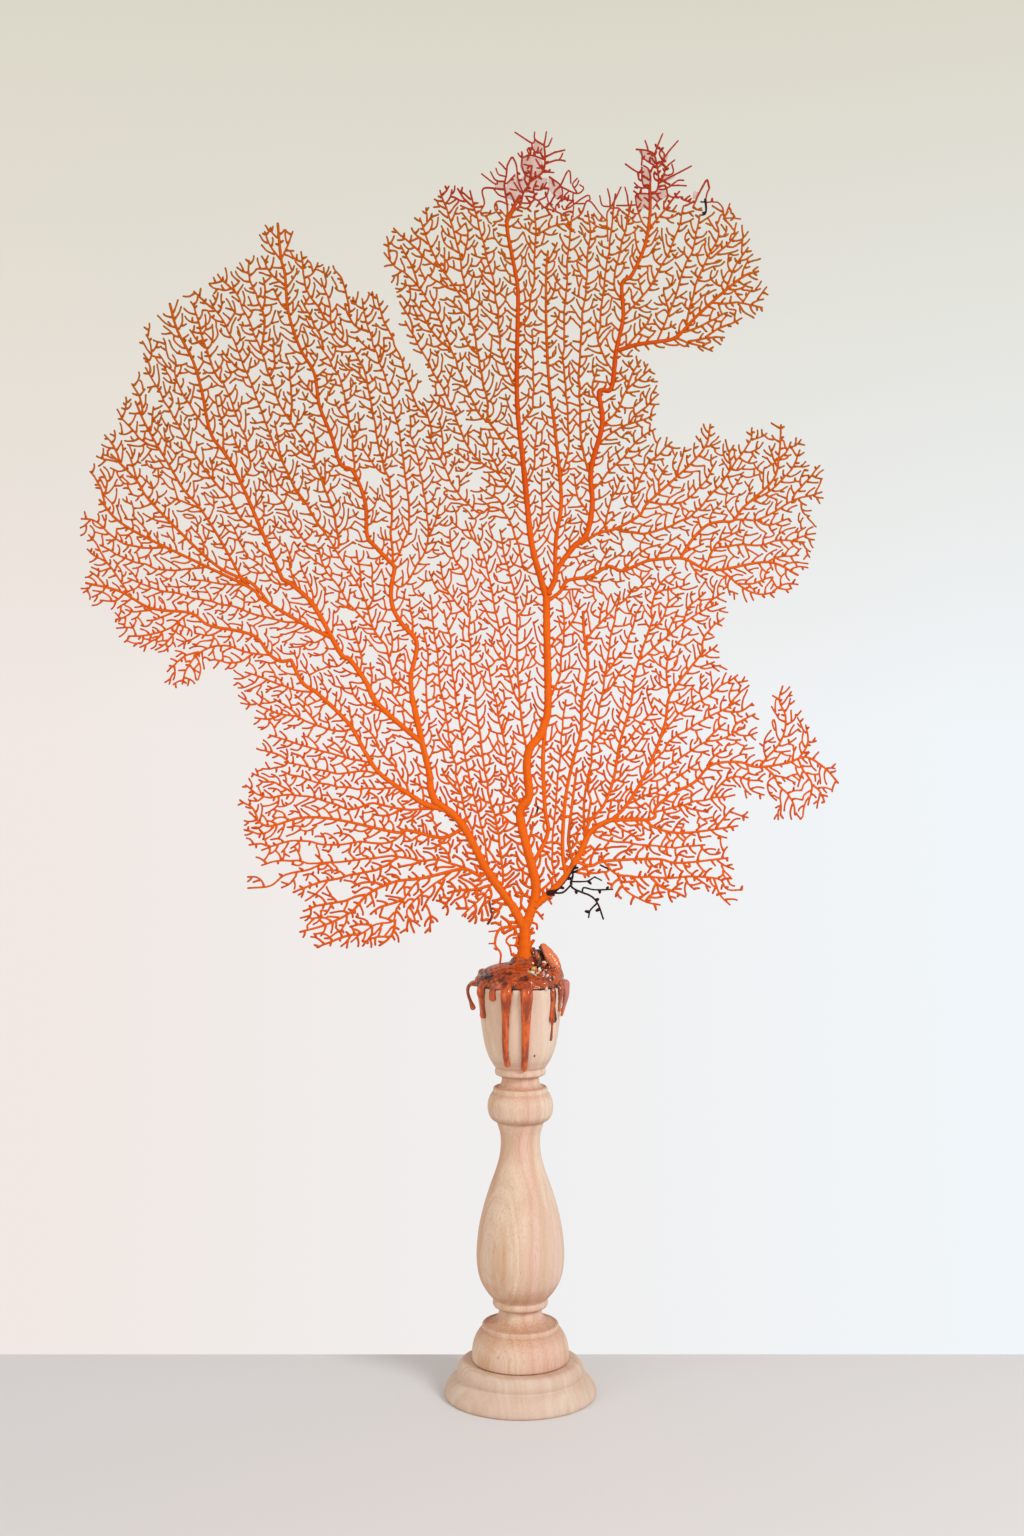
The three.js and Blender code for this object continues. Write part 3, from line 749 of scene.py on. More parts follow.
@dataclass(frozen=True)
class DriedSkin(Finish):
    """The dried tissue between the crown's twigs: thin, rose and half clear."""

    rose: tuple = srgb(190, 96, 80)
    pale: tuple = srgb(206, 160, 148)

    def build(self, shader: Shader) -> bpy.types.Material:
        """Mixes two rose tones and varies how clear the skin is."""
        cloud = shader.noise((0.14, 0.14, 0.14), 3.0)
        return shader.finish({
            "Base Color": shader.mix(cloud.band(0.4, 0.6), self.rose, self.pale),
            "Roughness": 0.45,
            "Alpha": 0.12 + cloud * 0.45,
            "Specular IOR Level": 0.3,
        })


@dataclass(frozen=True)
class Plain(Finish):
    """A matt studio surface of one colour."""

    colour: tuple = srgb(240, 238, 234)

    def build(self, shader: Shader) -> bpy.types.Material:
        """Makes a plain matt shader."""
        return shader.finish({"Base Color": self.colour, "Roughness": 0.8})


# --------------------------------------------------------------------------------------------------------
# Candlestick
# --------------------------------------------------------------------------------------------------------
def turned_profile(strokes: Sequence[Path], ease: float = 0.22, step: float = 0.5) -> np.ndarray:
    """Joins smooth strokes into one lathe profile, with its corners eased by a hair.

    Args:
        strokes: radius and height along each stroke; each starts where the last one ends.
        ease: how far from a corner its easing starts.
        step: the distance between samples.

    Returns:
        The profile's points.
    """
    pieces = []
    for stroke in strokes:
        line = smooth_path(stroke, step) if len(stroke) > 2 else np.array(stroke, dtype=float)
        away = run_length(line)
        even = np.linspace(0, away[-1], max(2, round(away[-1] / step) + 1))
        cut = min(ease, away[-1] / 4)
        even[0], even[-1] = cut, away[-1] - cut
        pieces.append(np.column_stack([np.interp(even, away, line[:, k]) for k in (0, 1)]))
    pieces[0][0] = strokes[0][0]
    pieces[-1][-1] = strokes[-1][-1]
    return np.vstack(pieces)


CUP_WALL: Path = [
    (12.2, 162.7), (13.0, 163.6), (14.2, 165.6), (15.7, 168.2), (17.4, 172.8), (18.8, 179.5),
    (20.3, 190.5), (21.3, 198.5), (21.75, 203.4),
]


def cup_radius(height: np.ndarray | float) -> np.ndarray:
    """Gives the cup's outside radius at a height."""
    wall = np.array(CUP_WALL)
    return np.interp(height, wall[:, 1], wall[:, 0])


@dataclass
class Candlestick:
    """The turned base and column. Sizes are in millimetres."""

    sides: int = 144
    grain: Finish = field(default_factory=lambda: RawBeech("raw_beech"))
    base: list[Path] = field(default_factory=lambda: [
        [(0, 0), (37.3, 0)],
        [(37.3, 0), (37.95, 0.7), (38, 2.2), (37.2, 4.4), (35.3, 6.9), (33.2, 8.7), (31.7, 9.5)],
        [(31.7, 9.5), (31.3, 10.1)],
        [(31.3, 10.1), (31.65, 11.6), (31.35, 13.6), (30.4, 15.4), (28.9, 16.5), (27.6, 16.7)],
        [(27.6, 16.7), (12.3, 16.7)],
        [(12.3, 16.7), (12.3, 4.7)],
        [(12.3, 4.7), (0, 4.7)],
    ])
    column: list[Path] = field(default_factory=lambda: [
        [(0, 5), (12, 5)],
        [(12, 5), (12, 17)],
        [(12, 17), (23.7, 17)],
        [(23.7, 17), (24.15, 18.2), (24.2, 21.5), (23.6, 25.6), (22.2, 29.2), (20.2, 32.2), (18.9, 33.4)],
        [(18.9, 33.4), (19.15, 34), (19.05, 34.9), (18.5, 35.5), (17.8, 35.6)],
        [(17.8, 35.6), (17.3, 35.1)],
        [(17.3, 35.1), (15.2, 35.7), (13.1, 36.9), (11.5, 38.9), (10.7, 41), (10.5, 42.6)],
        [(10.5, 42.6), (11.2, 43.2)],
        [(11.2, 43.2), (12.9, 43.8), (13.7, 44.9), (13.8, 46.2), (13.4, 47.3)],
        [(13.4, 47.3), (14.6, 48.9), (17, 51.8), (19.6, 56.2), (21.2, 61.4), (21.9, 67.5), (21.8, 73.5),
         (20.8, 83), (18.6, 93), (15.5, 103), (12.6, 111), (10.6, 118), (9.85, 124.5), (10.15, 130),
         (11.7, 135.4)],
        [(11.7, 135.4), (12.2, 136.1)],
        [(12.2, 136.1), (14.2, 137.2), (15.8, 139.6), (16.4, 143), (16.1, 146.4), (14.9, 149.4),
         (13.6, 151.2)],
        [(13.6, 151.2), (13.65, 152.3), (13.1, 153.3), (12.5, 153.5)],
        [(12.5, 153.5), (12, 153)],
        [(12, 153), (10.8, 153.6), (9.8, 155), (9.3, 157), (9.5, 158.4)],
        [(9.5, 158.4), (10.4, 159)],
        [(10.4, 159), (12.1, 159.4), (12.7, 160.4), (12.6, 162.2), (12.2, 162.7)],
        CUP_WALL,
        [(21.75, 203.4), (21.4, 204)],
        [(21.4, 204), (11.3, 204)],
        [(11.3, 204), (11, 203.7)],
        [(11, 203.7), (11, 184)],
        [(11, 184), (0, 184)],
    ])

    def build(self) -> None:
        """Turns both pieces and dresses them."""
        for name, strokes in (("base", self.base), ("column", self.column)):
            shape = revolve(turned_profile(strokes, step=0.7), self.sides)
            made = make_object("turned_" + name, shape)
            # How squarely each point faces along the grain, from 0 to 1.
            store(made.data, {"end": np.abs(read(made.data, "normal")[:, 2])})
            settle(made, self.grain, [name])


# --------------------------------------------------------------------------------------------------------
# Wax and root
# --------------------------------------------------------------------------------------------------------
class Drip(NamedTuple):
    """A run of wax down the cup.

    Angles are in degrees from the front towards +X. Widths are half widths in millimetres, from the rim down
    to the bead at the bottom.
    """

    rim: float
    end: float
    bottom: float
    widths: tuple[float, ...]


@dataclass
class WaxPour:
    """Wax poured round the fan's foot: a pool in the cup, a streaky mound and the drips over the rim."""

    voxel: float = 0.36
    finish: Finish = field(default_factory=lambda: MeltedWax("melted_wax"))
    drips: list[Drip] = field(default_factory=lambda: [
        Drip(-60, -62, 190.2, (2.6, 1.6, 1.35, 1.9)),
        Drip(-39, -39, 199.6, (2.1, 1.5, 1.9)),
        Drip(-18, -26, 166.4, (3.0, 2.1, 1.8, 1.7, 1.55, 1.5)),
        Drip(7.5, 7, 164.4, (3.2, 2.5, 2.2, 1.95, 1.75, 1.6)),
        Drip(46, 50, 188.6, (1.4, 1.2, 1.6, 2.2)),
        Drip(50, 53, 178.4, (0.9, 0.8, 0.55, 0.8)),
        Drip(63, 66, 192.5, (1.9, 1.3, 0.7, 0.8)),
        Drip(104, 107, 195.5, (2.2, 1.4, 1.7)),
        Drip(138, 136, 181.5, (2.6, 1.6, 1.3, 1.7)),
        Drip(171, 174, 193.5, (2.4, 1.5, 1.8)),
        Drip(206, 203, 171.5, (2.8, 1.8, 1.4, 1.3, 1.6)),
        Drip(243, 240, 191.5, (2.3, 1.3, 1.8)),
    ])
    lumps: list[tuple] = field(default_factory=lambda: [
        ((-3.5, -1, 206.5), (17, 15.5, 9.4), 0.05),
        ((-14, -3, 206.3), (8.5, 11, 5.2), 0.08),
        ((2.6, 0, 213.5), (8.5, 7.4, 6), 0.06),
        ((13, -3.5, 207.5), (8, 12, 7.5), 0.1),
        ((13.5, 6, 207.5), (7.5, 9.5, 7.5), 0.1),
        ((7, -14.5, 206.2), (8, 5.6, 5), 0.12),
        ((-7.5, -14.5, 205.6), (8.6, 5.6, 3.8), 0.12),
        ((-3, 13.5, 206), (11, 6.2, 5), 0.1),
        ((17.2, -2.5, 212), (3.2, 6, 4.6), 0.12),
        ((-22.2, -0.5, 204.9), (3.6, 4.2, 1.5), 0.05),
        ((-18.6, 5, 208), (3.2, 3, 3.6), 0.1),
        ((-10, -7.5, 211.2), (3.6, 3.4, 2.6), 0.12),
        ((3.6, -12.6, 209.5), (3.3, 3.2, 3.3), 0.12),
        ((-15.4, -8.6, 208.2), (3, 3, 2.4), 0.12),
    ])

    def drip(self, run: Drip) -> Surface:
        """Makes one drip: from the mound over the rim, then down the wall, half sunk in it."""
        start = math.radians(run.rim)
        count = max(4, round((CUP_TOP - run.bottom) / 5))
        height = np.linspace(CUP_TOP - 2.2, run.bottom, count)
        share = (height[0] - height) / (height[0] - height[-1])
        angle = start + (math.radians(run.end) - start) * share
        width = np.interp(share, np.linspace(0, 1, len(run.widths)), run.widths)
        reach = cup_radius(height) + 0.3 * width
        path = [
            (15.5 * math.sin(start), -15.5 * math.cos(start), CUP_TOP + 3.2),
            (20.3 * math.sin(start), -20.3 * math.cos(start), CUP_TOP + 0.8),
            *zip(reach * np.sin(angle), -reach * np.cos(angle), height),
        ]
        radii = [run.widths[0] * 0.9, run.widths[0], *width]
        return rope(path, radii)

    def streams(self) -> list[Surface]:
        """Makes low ridges that run from the foot of the fan out to the drips."""
        made = []
        for k, run in enumerate(self.drips):
            turn = math.radians(run.rim)
            sway = math.radians(12 * math.sin(2.7 * k))
            path = [
                (FOOT[0] + 3.4 * math.sin(turn + sway), -3.4 * math.cos(turn + sway), CUP_TOP + 12.5),
                (9 * math.sin(turn + sway), -9 * math.cos(turn + sway), CUP_TOP + 8.3),
                (15 * math.sin(turn), -15 * math.cos(turn), CUP_TOP + 4.2),
                (20.4 * math.sin(turn), -20.4 * math.cos(turn), CUP_TOP + 0.9),
            ]
            made.append(rope(path, (1.3, 1.9, 1.7, run.widths[0] * 0.8)))
        return made

    def pool(self) -> Surface:
        """Makes the pool's slab, whose edge swells and shrinks a little round the rim."""
        edge = [(19.5, 203.6), (21.3, 204.1), (21.9, 204.8), (21.4, 205.6), (19, 206.4)]
        slab = revolve(np.array([(0, 203.6), *edge, (0, 208)]), 96)
        turn = np.arctan2(slab.points[:, 1], slab.points[:, 0])
        swell = 1 + 0.014 * np.sin(5 * turn + 1) + 0.012 * np.sin(9 * turn)
        slab.points[:, :2] *= swell[:, None]
        return slab

    def stem_plug(self) -> Surface:
        """Makes the wax that fills the candle socket."""
        return revolve(np.array([(0, 186), (10.7, 186), (10.7, 204.5), (0, 204.5)]), 48)

    def build(self) -> None:
        """Melts the parts together, sinks hollows into the mound and marks its painted shade and its black
        patch.
        """
        parts = [self.pool(), *self.streams()]
        parts += [blob(*lump, seed=20 + k) for k, lump in enumerate(self.lumps)]
        parts += [self.drip(run) for run in self.drips]
        parts.append(rope(
            [(-19, 0, 205.6), (-23.4, -0.4, 205.2), (-25.9, -0.6, 203.4), (-26.2, -0.6, 200),
             (-24.9, -0.6, 196), (-23.7, -0.6, 192.7)],
            (1.6, 1.3, 0.95, 0.85, 0.9, 1.5),
        ))
        parts.append(rope([(22, -6, 205.5), (22.6, -7.2, 200), (21.4, -8.2, 194), (20.4, -8.8, 190)],
                          (2.6, 1.6, 1.0, 0.7)))
        parts.append(self.stem_plug())
        wax = melt("poured_wax", joined(parts), self.voxel, 3)
        self.wrinkle(wax.data)
        settle(wax, self.finish, ["wax"])
        drop = blob((6.85, -15.2, 171.3), (0.5, 0.5, 1.0), 0.1, 5)
        settle(make_object("wax_spatter", drop), self.finish)

    def wrinkle(self, mesh: bpy.types.Mesh) -> None:
        """Draws shallow flow wrinkles in the mound and stores how deep each point lies.

        The depth is a sum of sine waves along the way round the foot, stronger near it, and is taken off
        along the normal. Painted shade darkens the troughs, the line under the pool's edge and the drips'
        borders on the wood; a real black patch of wax at the left is stored with it.

        Args:
            mesh: the melted wax.
        """
        where, normal = read(mesh, "co") / MM, read(mesh, "normal")
        x, y, z = where.T
        turn = np.arctan2(y, x - FOOT[0])
        away = np.hypot(x - FOOT[0], y)
        rise = np.clip((z - CUP_TOP) / 3, 0, 1)
        folds = np.sin(9 * turn + 0.5 * away + 1.5 * np.sin(0.4 * x)) + 0.7 * np.sin(17 * turn - 0.5 * z)
        cross = np.sin(1.1 * x + 0.9 * y + 1.3 * z) * np.sin(0.9 * y - 1.2 * x + 0.6 * z + 2)
        depth = rise * (0.15 * np.clip(folds - 0.2, 0, 2) + 0.3 * np.clip(cross, 0, 1))
        moved = where - normal * depth[:, None]
        write_points(mesh, moved)
        # A real patch of black wax at the left.
        left = np.exp(-(((x + 17) / 5) ** 2 + ((z - 209.5) / 3.2) ** 2)) * (y < 2)
        # Painted shade: under the pool's edge, along a drip's right edge, under the wax between two drips,
        # and along the drips' borders on the wood.
        sill = np.exp(-(((z - 204.2) / 0.75) ** 2)) * (np.hypot(x, y) < 22.2) * (0.6 + 0.4 * np.sin(4 * turn))
        edge = np.exp(-(((x - 17.4) / 0.8) ** 2)) * (z < 206) * (z > 187) * (y < 0)
        arch = np.exp(-(((x + 3.6) / 1.1) ** 2 + ((z - 204) / 2.2) ** 2)) * (y < 0)
        off = np.hypot(x, y) - cup_radius(z)
        rim = np.clip(1.25 - np.abs(off) / 0.5, 0, 1) * (z < CUP_TOP - 0.4) * (z > 160)
        crease = np.clip(1.3 * depth + 0.55 * left + sill + 0.8 * edge + arch + 0.85 * rim, 0, 1)
        rose = np.clip(np.exp(-(((x - 22.6) / 1.8) ** 2)) * (y < 2) * (z > 192), 0, 0.8)
        store(mesh, {"crease": crease, "rose": rose})
        mesh.update()


@dataclass
class Root:
    """The fan's crusty root at the right of its foot, and the crumbs caught in the wax beside it."""

    crust: Finish = field(default_factory=lambda: CrustyRoot("crusty_root"))
    grit: Finish = field(default_factory=lambda: Grit("grit"))
    petals: list[tuple] = field(default_factory=lambda: [
        ([(11.2, -3.2, 223.4), (13.6, -3.9, 220.2), (16.2, -4.6, 216), (17.6, -5.2, 211.5),
          (17.9, -5.6, 207.5)],
         (2.1, 3.0, 3.3, 3.1, 2.6)),
        ([(6.5, -3.4, 222.8), (7.7, -4, 220.3), (9.2, -5.6, 216.8), (10.4, -7.6, 212.5), (10.8, -9, 208)],
         (0.75, 1.25, 1.9, 2.5, 2.6)),
        ([(8.6, -1.2, 221.2), (10.2, -2.6, 217.5), (11.6, -4.2, 213)], (1.1, 1.7, 2.2)),
        ([(12.5, 3, 219.5), (14.2, 4.2, 215), (15.4, 5, 209)], (2.8, 3.6, 3.6)),
        ([(9, 3.5, 217.5), (10.4, 4.6, 212), (10.8, 5, 208)], (1.8, 2.8, 3.2)),
        ([(12, -1, 214), (13, 0, 209)], (3.6, 4.4)),
    ])

    def build(self) -> None:
        """Melts the petals together, and scatters crumbs over the front of the wax."""
        parts = [rope(path, radii) for path, radii in self.petals]
        root = melt("crusty_root", joined(parts), 0.34, 2)
        self.weather(root.data)
        settle(root, self.crust, ["holdfast"])
        self.crumbs()

    @staticmethod
    def weather(mesh: bpy.types.Mesh) -> None:
        """Roughens the dark petal, and stores painted shade where the petals meet and round the rim, on the
        sides that face left and right.

        The shaded seam follows a line that slants between the petals.

        Args:
            mesh: the melted root.
        """
        where, normal = read(mesh, "co") / MM, read(mesh, "normal")
        x, y, z = where.T
        seam = 10.4 + (222 - z) * 0.3
        rough = np.sin(1.9 * x + 1.1 * z) * np.sin(1.6 * z - 1.3 * y + 1)
        rough += 0.6 * np.sin(3.1 * x - 2.7 * z + y)
        moved = where + normal * (rough * np.where(x < seam, 0.28, 0.1))[:, None]
        write_points(mesh, moved)
        # Painted shade: a dark line along the seam, and darkening where the surface faces left and right.
        crease = np.exp(-(((x - seam - 0.2) / 0.55) ** 2)) + np.clip(np.abs(normal[:, 0]) - 0.8, 0, 0.2) * 3
        store(mesh, {"crease": np.clip(crease, 0, 1)})
        mesh.update()

    def crumbs(self, count: int = 170) -> None:
        """Scatters little lumps, each with one number that picks its colour."""
        rng = np.random.default_rng(11)
        pieces, kinds = [], []
        while len(pieces) < count:
            x, z = rng.normal(9.2, 3.0), rng.normal(208.4, 3.0)
            if not (1.5 < x < 15.5 and 204.2 < z < 217):
                continue
            y = -20.2 + 0.86 * (z - 204.6) + 0.018 * x**2 + rng.normal(0, 0.5)
            size = rng.uniform(0.4, 1.15)
            piece = blob((x, y, z), size * rng.uniform(0.7, 1.3, 3), 0.35, int(rng.integers(1e6)), 5)
            pieces.append(piece)
            kinds.append(np.full(len(piece.points), rng.random()))
        made = make_object("crumbs", joined(pieces), {"kind": np.concatenate(kinds)})
        settle(made, self.grit)


# --------------------------------------------------------------------------------------------------------
# The fan: its layout
# --------------------------------------------------------------------------------------------------------
# The main stems of each limb. A row holds a stem's radius at both ends, then x and z of each of its points
# from the fan's foot, all in millimetres.
STEMS: dict[str, list[tuple[float, ...]]] = {
    "trunk": [
        (2.75, 2.45, -0.8, -2, -1.2, 18.5),
        (2.5, 2.2, -1.2, 15, -7.5, 26.5),
        (2.55, 2.4, -1, 15, 4.2, 30.5),
        (0.85, 0.5, -4, 15.8, -13.5, 14.5, -16, 7, -13.2, 2.5, -13.5, -3),
        (0.5, 0.42, -13.5, 14, -19, 13.2),
        (0.5, 0.42, -15.8, 7.2, -19, 7.2),
        (0.5, 0.42, -12.5, 15, -13, 18.5),
        (0.45, 0.4, -15, 4, -16.5, 5),
        (0.75, 0.5, -1, 12, -4.5, 12, -8.5, 11.2, -10.5, 8.5, -8.8, 6, -7.8, 1.5),
        (0.5, 0.45, -4.5, 5.5, -8.5, 6.5),
        (0.6, 0.5, -1, 10, -4, 10, -7, 10),
        (0.75, 0.62, 0.2, 18.5, 3, 17.5, 4.8, 16.8, 5, 14.5),
        (0.75, 0.62, 2, 24, 5, 23, 7.8, 19.5),
        (0.6, 0.5, 7.2, 21.2, 8.2, 22),
        (0.7, 0.55, 9, 30, 11.2, 29.2, 12.2, 27),
        (0.6, 0.5, 11.2, 29.2, 12.5, 30),
    ],
    "left_stem": [
        (2.1, 1.9, -7, 25.5, -20, 44, -33, 67.5, -46.5, 79),
        (1.9, 1.7, -45.5, 78, -48, 84, -48.5, 91),
        (1.6, 1.25, -40, 74, -51, 77, -56.5, 80.5),
    ],
    "left_low": [
        (0.95, 0.55, -20, 45, -23, 41, -30.5, 44.5, -38, 43.5, -52, 40, -66.5, 38, -79.5, 32, -88, 23,
         -101, 16.5, -113.5, 13),
        (0.7, 0.5, -30.5, 45, -44.5, 49, -53.5, 48.5, -67.5, 51, -101, 47.5, -121, 49, -132.5, 46.5),
        (0.62, 0.5, -53.5, 39.5, -64.5, 26, -67.5, 18.5, -77, 16.5, -88, 8),
        (0.62, 0.5, -38, 43, -60, 25, -53.5, 16),
        (0.62, 0.5, -98.5, 48, -109.5, 44, -121, 42, -128.5, 36, -139.5, 35),
        (0.62, 0.5, -18, 41, -16, 42.5, -19.5, 34, -32.5, 21),
    ],
    "left_mid": [
        (0.95, 0.55, -30.5, 66, -39, 61, -45.5, 60.5, -60, 64, -66.5, 63, -96, 69.5, -113.5, 70,
         -129.5, 66, -138.5, 73),
        (0.7, 0.5, -43.5, 76, -51, 74.5, -64, 75, -77.5, 77.5, -88, 74.5, -101, 78.5, -117.5, 81.5,
         -132.5, 81, -140.5, 86.5),
        (0.62, 0.5, -60, 64, -68.5, 58, -83.5, 58, -98.5, 56.5, -116, 59, -132.5, 54),
    ],
    "left_reach": [
        (1.2, 0.95, -53.5, 78.5, -72.5, 91.5, -80.5, 102.5, -87, 114.5, -94.5, 123, -105.5, 133,
         -112, 137.5, -118, 149),
        (0.9, 0.6, -118, 149, -123.5, 148.5, -129, 152, -135.5, 160.5, -146.5, 164, -159.5, 166.5,
         -168.5, 172.5, -188, 175, -204, 183.5, -220.5, 187.5),
        (0.62, 0.5, -66, 87, -67.5, 85, -79.5, 84.5, -92.5, 85.5, -108.5, 89, -122.5, 93.5),
        (0.62, 0.5, -73.5, 92, -82.5, 93.5, -94.5, 92.5, -121, 98),
        (0.62, 0.5, -77.5, 97.5, -101, 103, -128.5, 111.5),
        (0.62, 0.5, -87, 114.5, -98.5, 114, -113.5, 120, -127.5, 123, -137.5, 129),
        (0.62, 0.5, -105.5, 133, -115.5, 134, -141, 143),
        (0.58, 0.5, -128.5, 151.5, -140.5, 153, -152.5, 156.5, -163.5, 153, -170.5, 145, -172.5, 137),
        (0.58, 0.5, -168.5, 172.5, -177.5, 166, -188.5, 162, -199.5, 161),
        (0.58, 0.5, -201.5, 182.2, -201, 183, -206, 179, -213.5, 179),
    ],
    "left_outer": [
        (1, 0.6, -99.2, 163.5, -102, 162, -132, 179, -141, 186.5, -197.5, 214, -213.5, 229),
        (0.85, 0.6, -129.5, 178, -138, 187.5, -157, 197.5, -187.5, 227.5, -195, 238.5, -207.5, 251.5),
        (0.8, 0.6, -141.5, 189.2, -142, 188.5, -154, 210, -163.5, 225, -171.5, 234, -177.5, 244,
         -190.5, 266.5, -195.5, 278),
        (0.62, 0.5, -111, 167, -123.5, 169, -152.5, 177, -183.5, 184, -199.5, 190),
        (0.62, 0.5, -181, 205.5, -193.5, 205, -204.5, 209, -215.5, 218, -222.5, 219.5),
        (0.58, 0.5, -161, 195.5, -176, 194, -188.5, 196, -203.5, 201, -213.5, 206.5),
        (0.58, 0.5, -201, 183, -201, 185, -219, 211.5),
    ],
    "left_long": [
        (1.4, 1.15, -52, 107, -74, 126.5, -80.5, 138, -88.5, 149, -93, 152, -102, 168.5, -108.5, 178.5,
         -118, 187, -122.5, 189.5),
        (1.05, 0.7, -122.5, 189.5, -144.5, 240.5, -150.5, 251.5, -158.5, 263, -162.5, 283, -167, 298.5,
         -174.5, 313.5, -178.5, 327),
        (0.7, 0.5, -131.5, 210.5, -143.5, 221, -150.5, 232, -163.5, 248, -190.5, 295),
        (0.58, 0.5, -143.5, 237.5, -138.5, 248, -144.5, 269, -152.5, 289),
    ],
    "left_inner": [
        (1.65, 1.5, -48, 89, -57.5, 130.5),
        (1.2, 1.1, -57.5, 130.5, -58, 141, -55.5, 151.5, -55.5, 159, -62.5, 167, -67, 175, -68, 184,
         -66, 195.5),
        (1.1, 0.7, -66, 195.5, -75, 205, -80, 211.5, -81, 227.5, -87, 243.5, -93.5, 247.5, -98, 261.5,
         -104, 276.5, -106.5, 292.5, -113, 304, -117.5, 316, -120, 326.5, -121, 342, -123, 350,
         -124.5, 367),
        (0.62, 0.5, -57.5, 133, -59.5, 133, -66.5, 141.5, -71, 156.5, -76.5, 165, -81, 179, -87.5, 191.5,
         -109.5, 225),
        (0.7, 0.5, -96.5, 205.2, -94.5, 206.5, -96, 219, -99, 229, -111.5, 258, -123.5, 276.5,
         -131, 298.5, -147.5, 338),
        (0.62, 0.5, -100.2, 210.8, -98.5, 212, -106.5, 220.5, -120.5, 244, -127.5, 259, -143.5, 301.5,
         -158.5, 329),
        (0.7, 0.5, -67, 189, -68.5, 234, -72.5, 249, -80.5, 289, -86.5, 304, -97.5, 314, -98.5, 326.5,
         -103, 340),
        (0.62, 0.5, -86.5, 242, -87.5, 259, -93.5, 289, -104.5, 309),
        (0.62, 0.5, -67.2, 199, -66, 199, -59.5, 214, -59.5, 229, -66.5, 274, -80.5, 319, -82.5, 330),
        (0.58, 0.5, -111.5, 227.5, -118.5, 239, -123.5, 253, -126.5, 269),
        (0.58, 0.5, -67.5, 187.5, -62, 186.5, -53.5, 199, -49.5, 214, -53.5, 244, -57.5, 259, -58.5, 271.5),
        (0.58, 0.5, -123, 349, -128.5, 356.5, -131, 363),
        (0.58, 0.5, -123, 349, -117, 363),
    ],
    "centre_left": [
        (0.62, 0.5, -29.8, 61.8, -27.5, 63, -32.5, 79, -38.5, 109, -43.5, 139, -48.5, 181.5),
        (0.62, 0.5, -22.8, 48.8, -19.5, 50.5, -30.5, 99, -37.5, 144, -38.5, 159, -41.5, 174),
        (0.7, 0.5, -15, 37, -12, 39, -15.5, 69, -19.5, 84, -27.5, 144, -30.5, 189, -36, 199, -38.5, 214),
        (0.7, 0.5, 0, 99, -4, 134, -5, 169, -6.5, 184, -11, 199, -13.5, 214),
        (0.62, 0.5, -3.5, 129, -4.5, 129, -9.5, 144, -18.5, 189, -24.5, 211.5),
        (0.62, 0.5, -1.5, 77, -4.5, 79, -9.5, 94, -11.5, 109, -20.5, 149),
        (0.62, 0.5, 3.5, 197.5, -1.5, 194, -3.5, 204, -7, 214, -12, 223, -18.5, 225, -23, 222.5,
         -28.5, 226, -37, 236.5, -49.5, 264),
        (0.58, 0.5, -48.5, 119, -50.5, 134, -49.5, 149, -51.5, 164, -46.5, 164.5),
    ],
    "centre_stem": [
        (2.4, 1.75, 4, 28, 4.5, 35.5, 3.2, 43, -3.2, 68, -3, 75, 1, 81, 0, 96.5, 1.5, 105, 5.5, 110,
         8.5, 116.5, 10.5, 129, 9.5, 181),
        (1.1, 1, 3.5, 48, 10.5, 62.5, 9, 75, 8, 99, 9, 114),
    ],
    "top_left": [
        (1.65, 1.35, 9.5, 180, 3.5, 201.5, 1, 216.5, -1.5, 244),
        (1.3, 0.9, -1.5, 244, -5, 279, -4.5, 329, -6, 344, -10, 366.5, -7.5, 374, -3.5, 381.5),
        (0.75, 0.55, -10, 368, -6.5, 374, -3.5, 376.5, -1.8, 383, 1.2, 388, 2.5, 396.5),
        (0.6, 0.55, 1.2, 388.5, 6.5, 392, 8.4, 394.5, 9.2, 398.5, 8.6, 408),
        (0.55, 0.4, 8.6, 407.5, 9.8, 414.1),
        (0.55, 0.4, 8.2, 407.5, 4, 410.2, 3.9, 413.8),
        (0.5, 0.4, 4, 410, 2.4, 408.2, -6, 413.5),
        (0.5, 0.4, 2.4, 408.2, 3, 405.5, 5.5, 403.2, 7.5, 405.5),
        (0.5, 0.4, 8.6, 406.5, 11, 407, 12.6, 411),
        (0.55, 0.45, 9.5, 401.5, 19, 405.2),
        (0.55, 0.45, 9.5, 398, 16, 399.8, 19.2, 399.5),
        (0.45, 0.42, 16, 399.8, 18, 403.5),
        (0.5, 0.42, 8, 393.5, 13.5, 393.5),
        (0.5, 0.4, 8.5, 394, 4.5, 400),
        (0.5, 0.4, 7.5, 396, 5, 395.5),
        (0.45, 0.4, 2.5, 396.5, -1.5, 397.2),
        (0.55, 0.42, 9, 400, 1.5, 401.8, -2.5, 400.5, -4.5, 402.8),
        (0.5, 0.42, 1.5, 401.8, 0.5, 405.2, 3, 405.5),
        (0.5, 0.45, -2.5, 400.5, -3, 396, -1.5, 392.5, 1, 391),
        (0.6, 0.45, -10.8, 368, -10, 374, -11.2, 389.5, -8, 401, -5.7, 397.8, -4.2, 389, -2, 383.5),
        (0.5, 0.4, -9.8, 394.8, -10.8, 395, -14, 398.5),
        (0.45, 0.4, -11, 391.5, -14, 393, -15.5, 395.5),
        (0.5, 0.4, -11.2, 389, -15.5, 389.8, -18.2, 393.8),
        (0.45, 0.4, -15, 389.8, -15.5, 387.5, -22.7, 392.6),
        (0.55, 0.42, -11, 385, -21.8, 385.2, -21.2, 377.5, -23, 373.5, -21.5, 371.5, -15.5, 373.2),
        (0.5, 0.42, -10, 380.5, -14, 382, -16.5, 385),
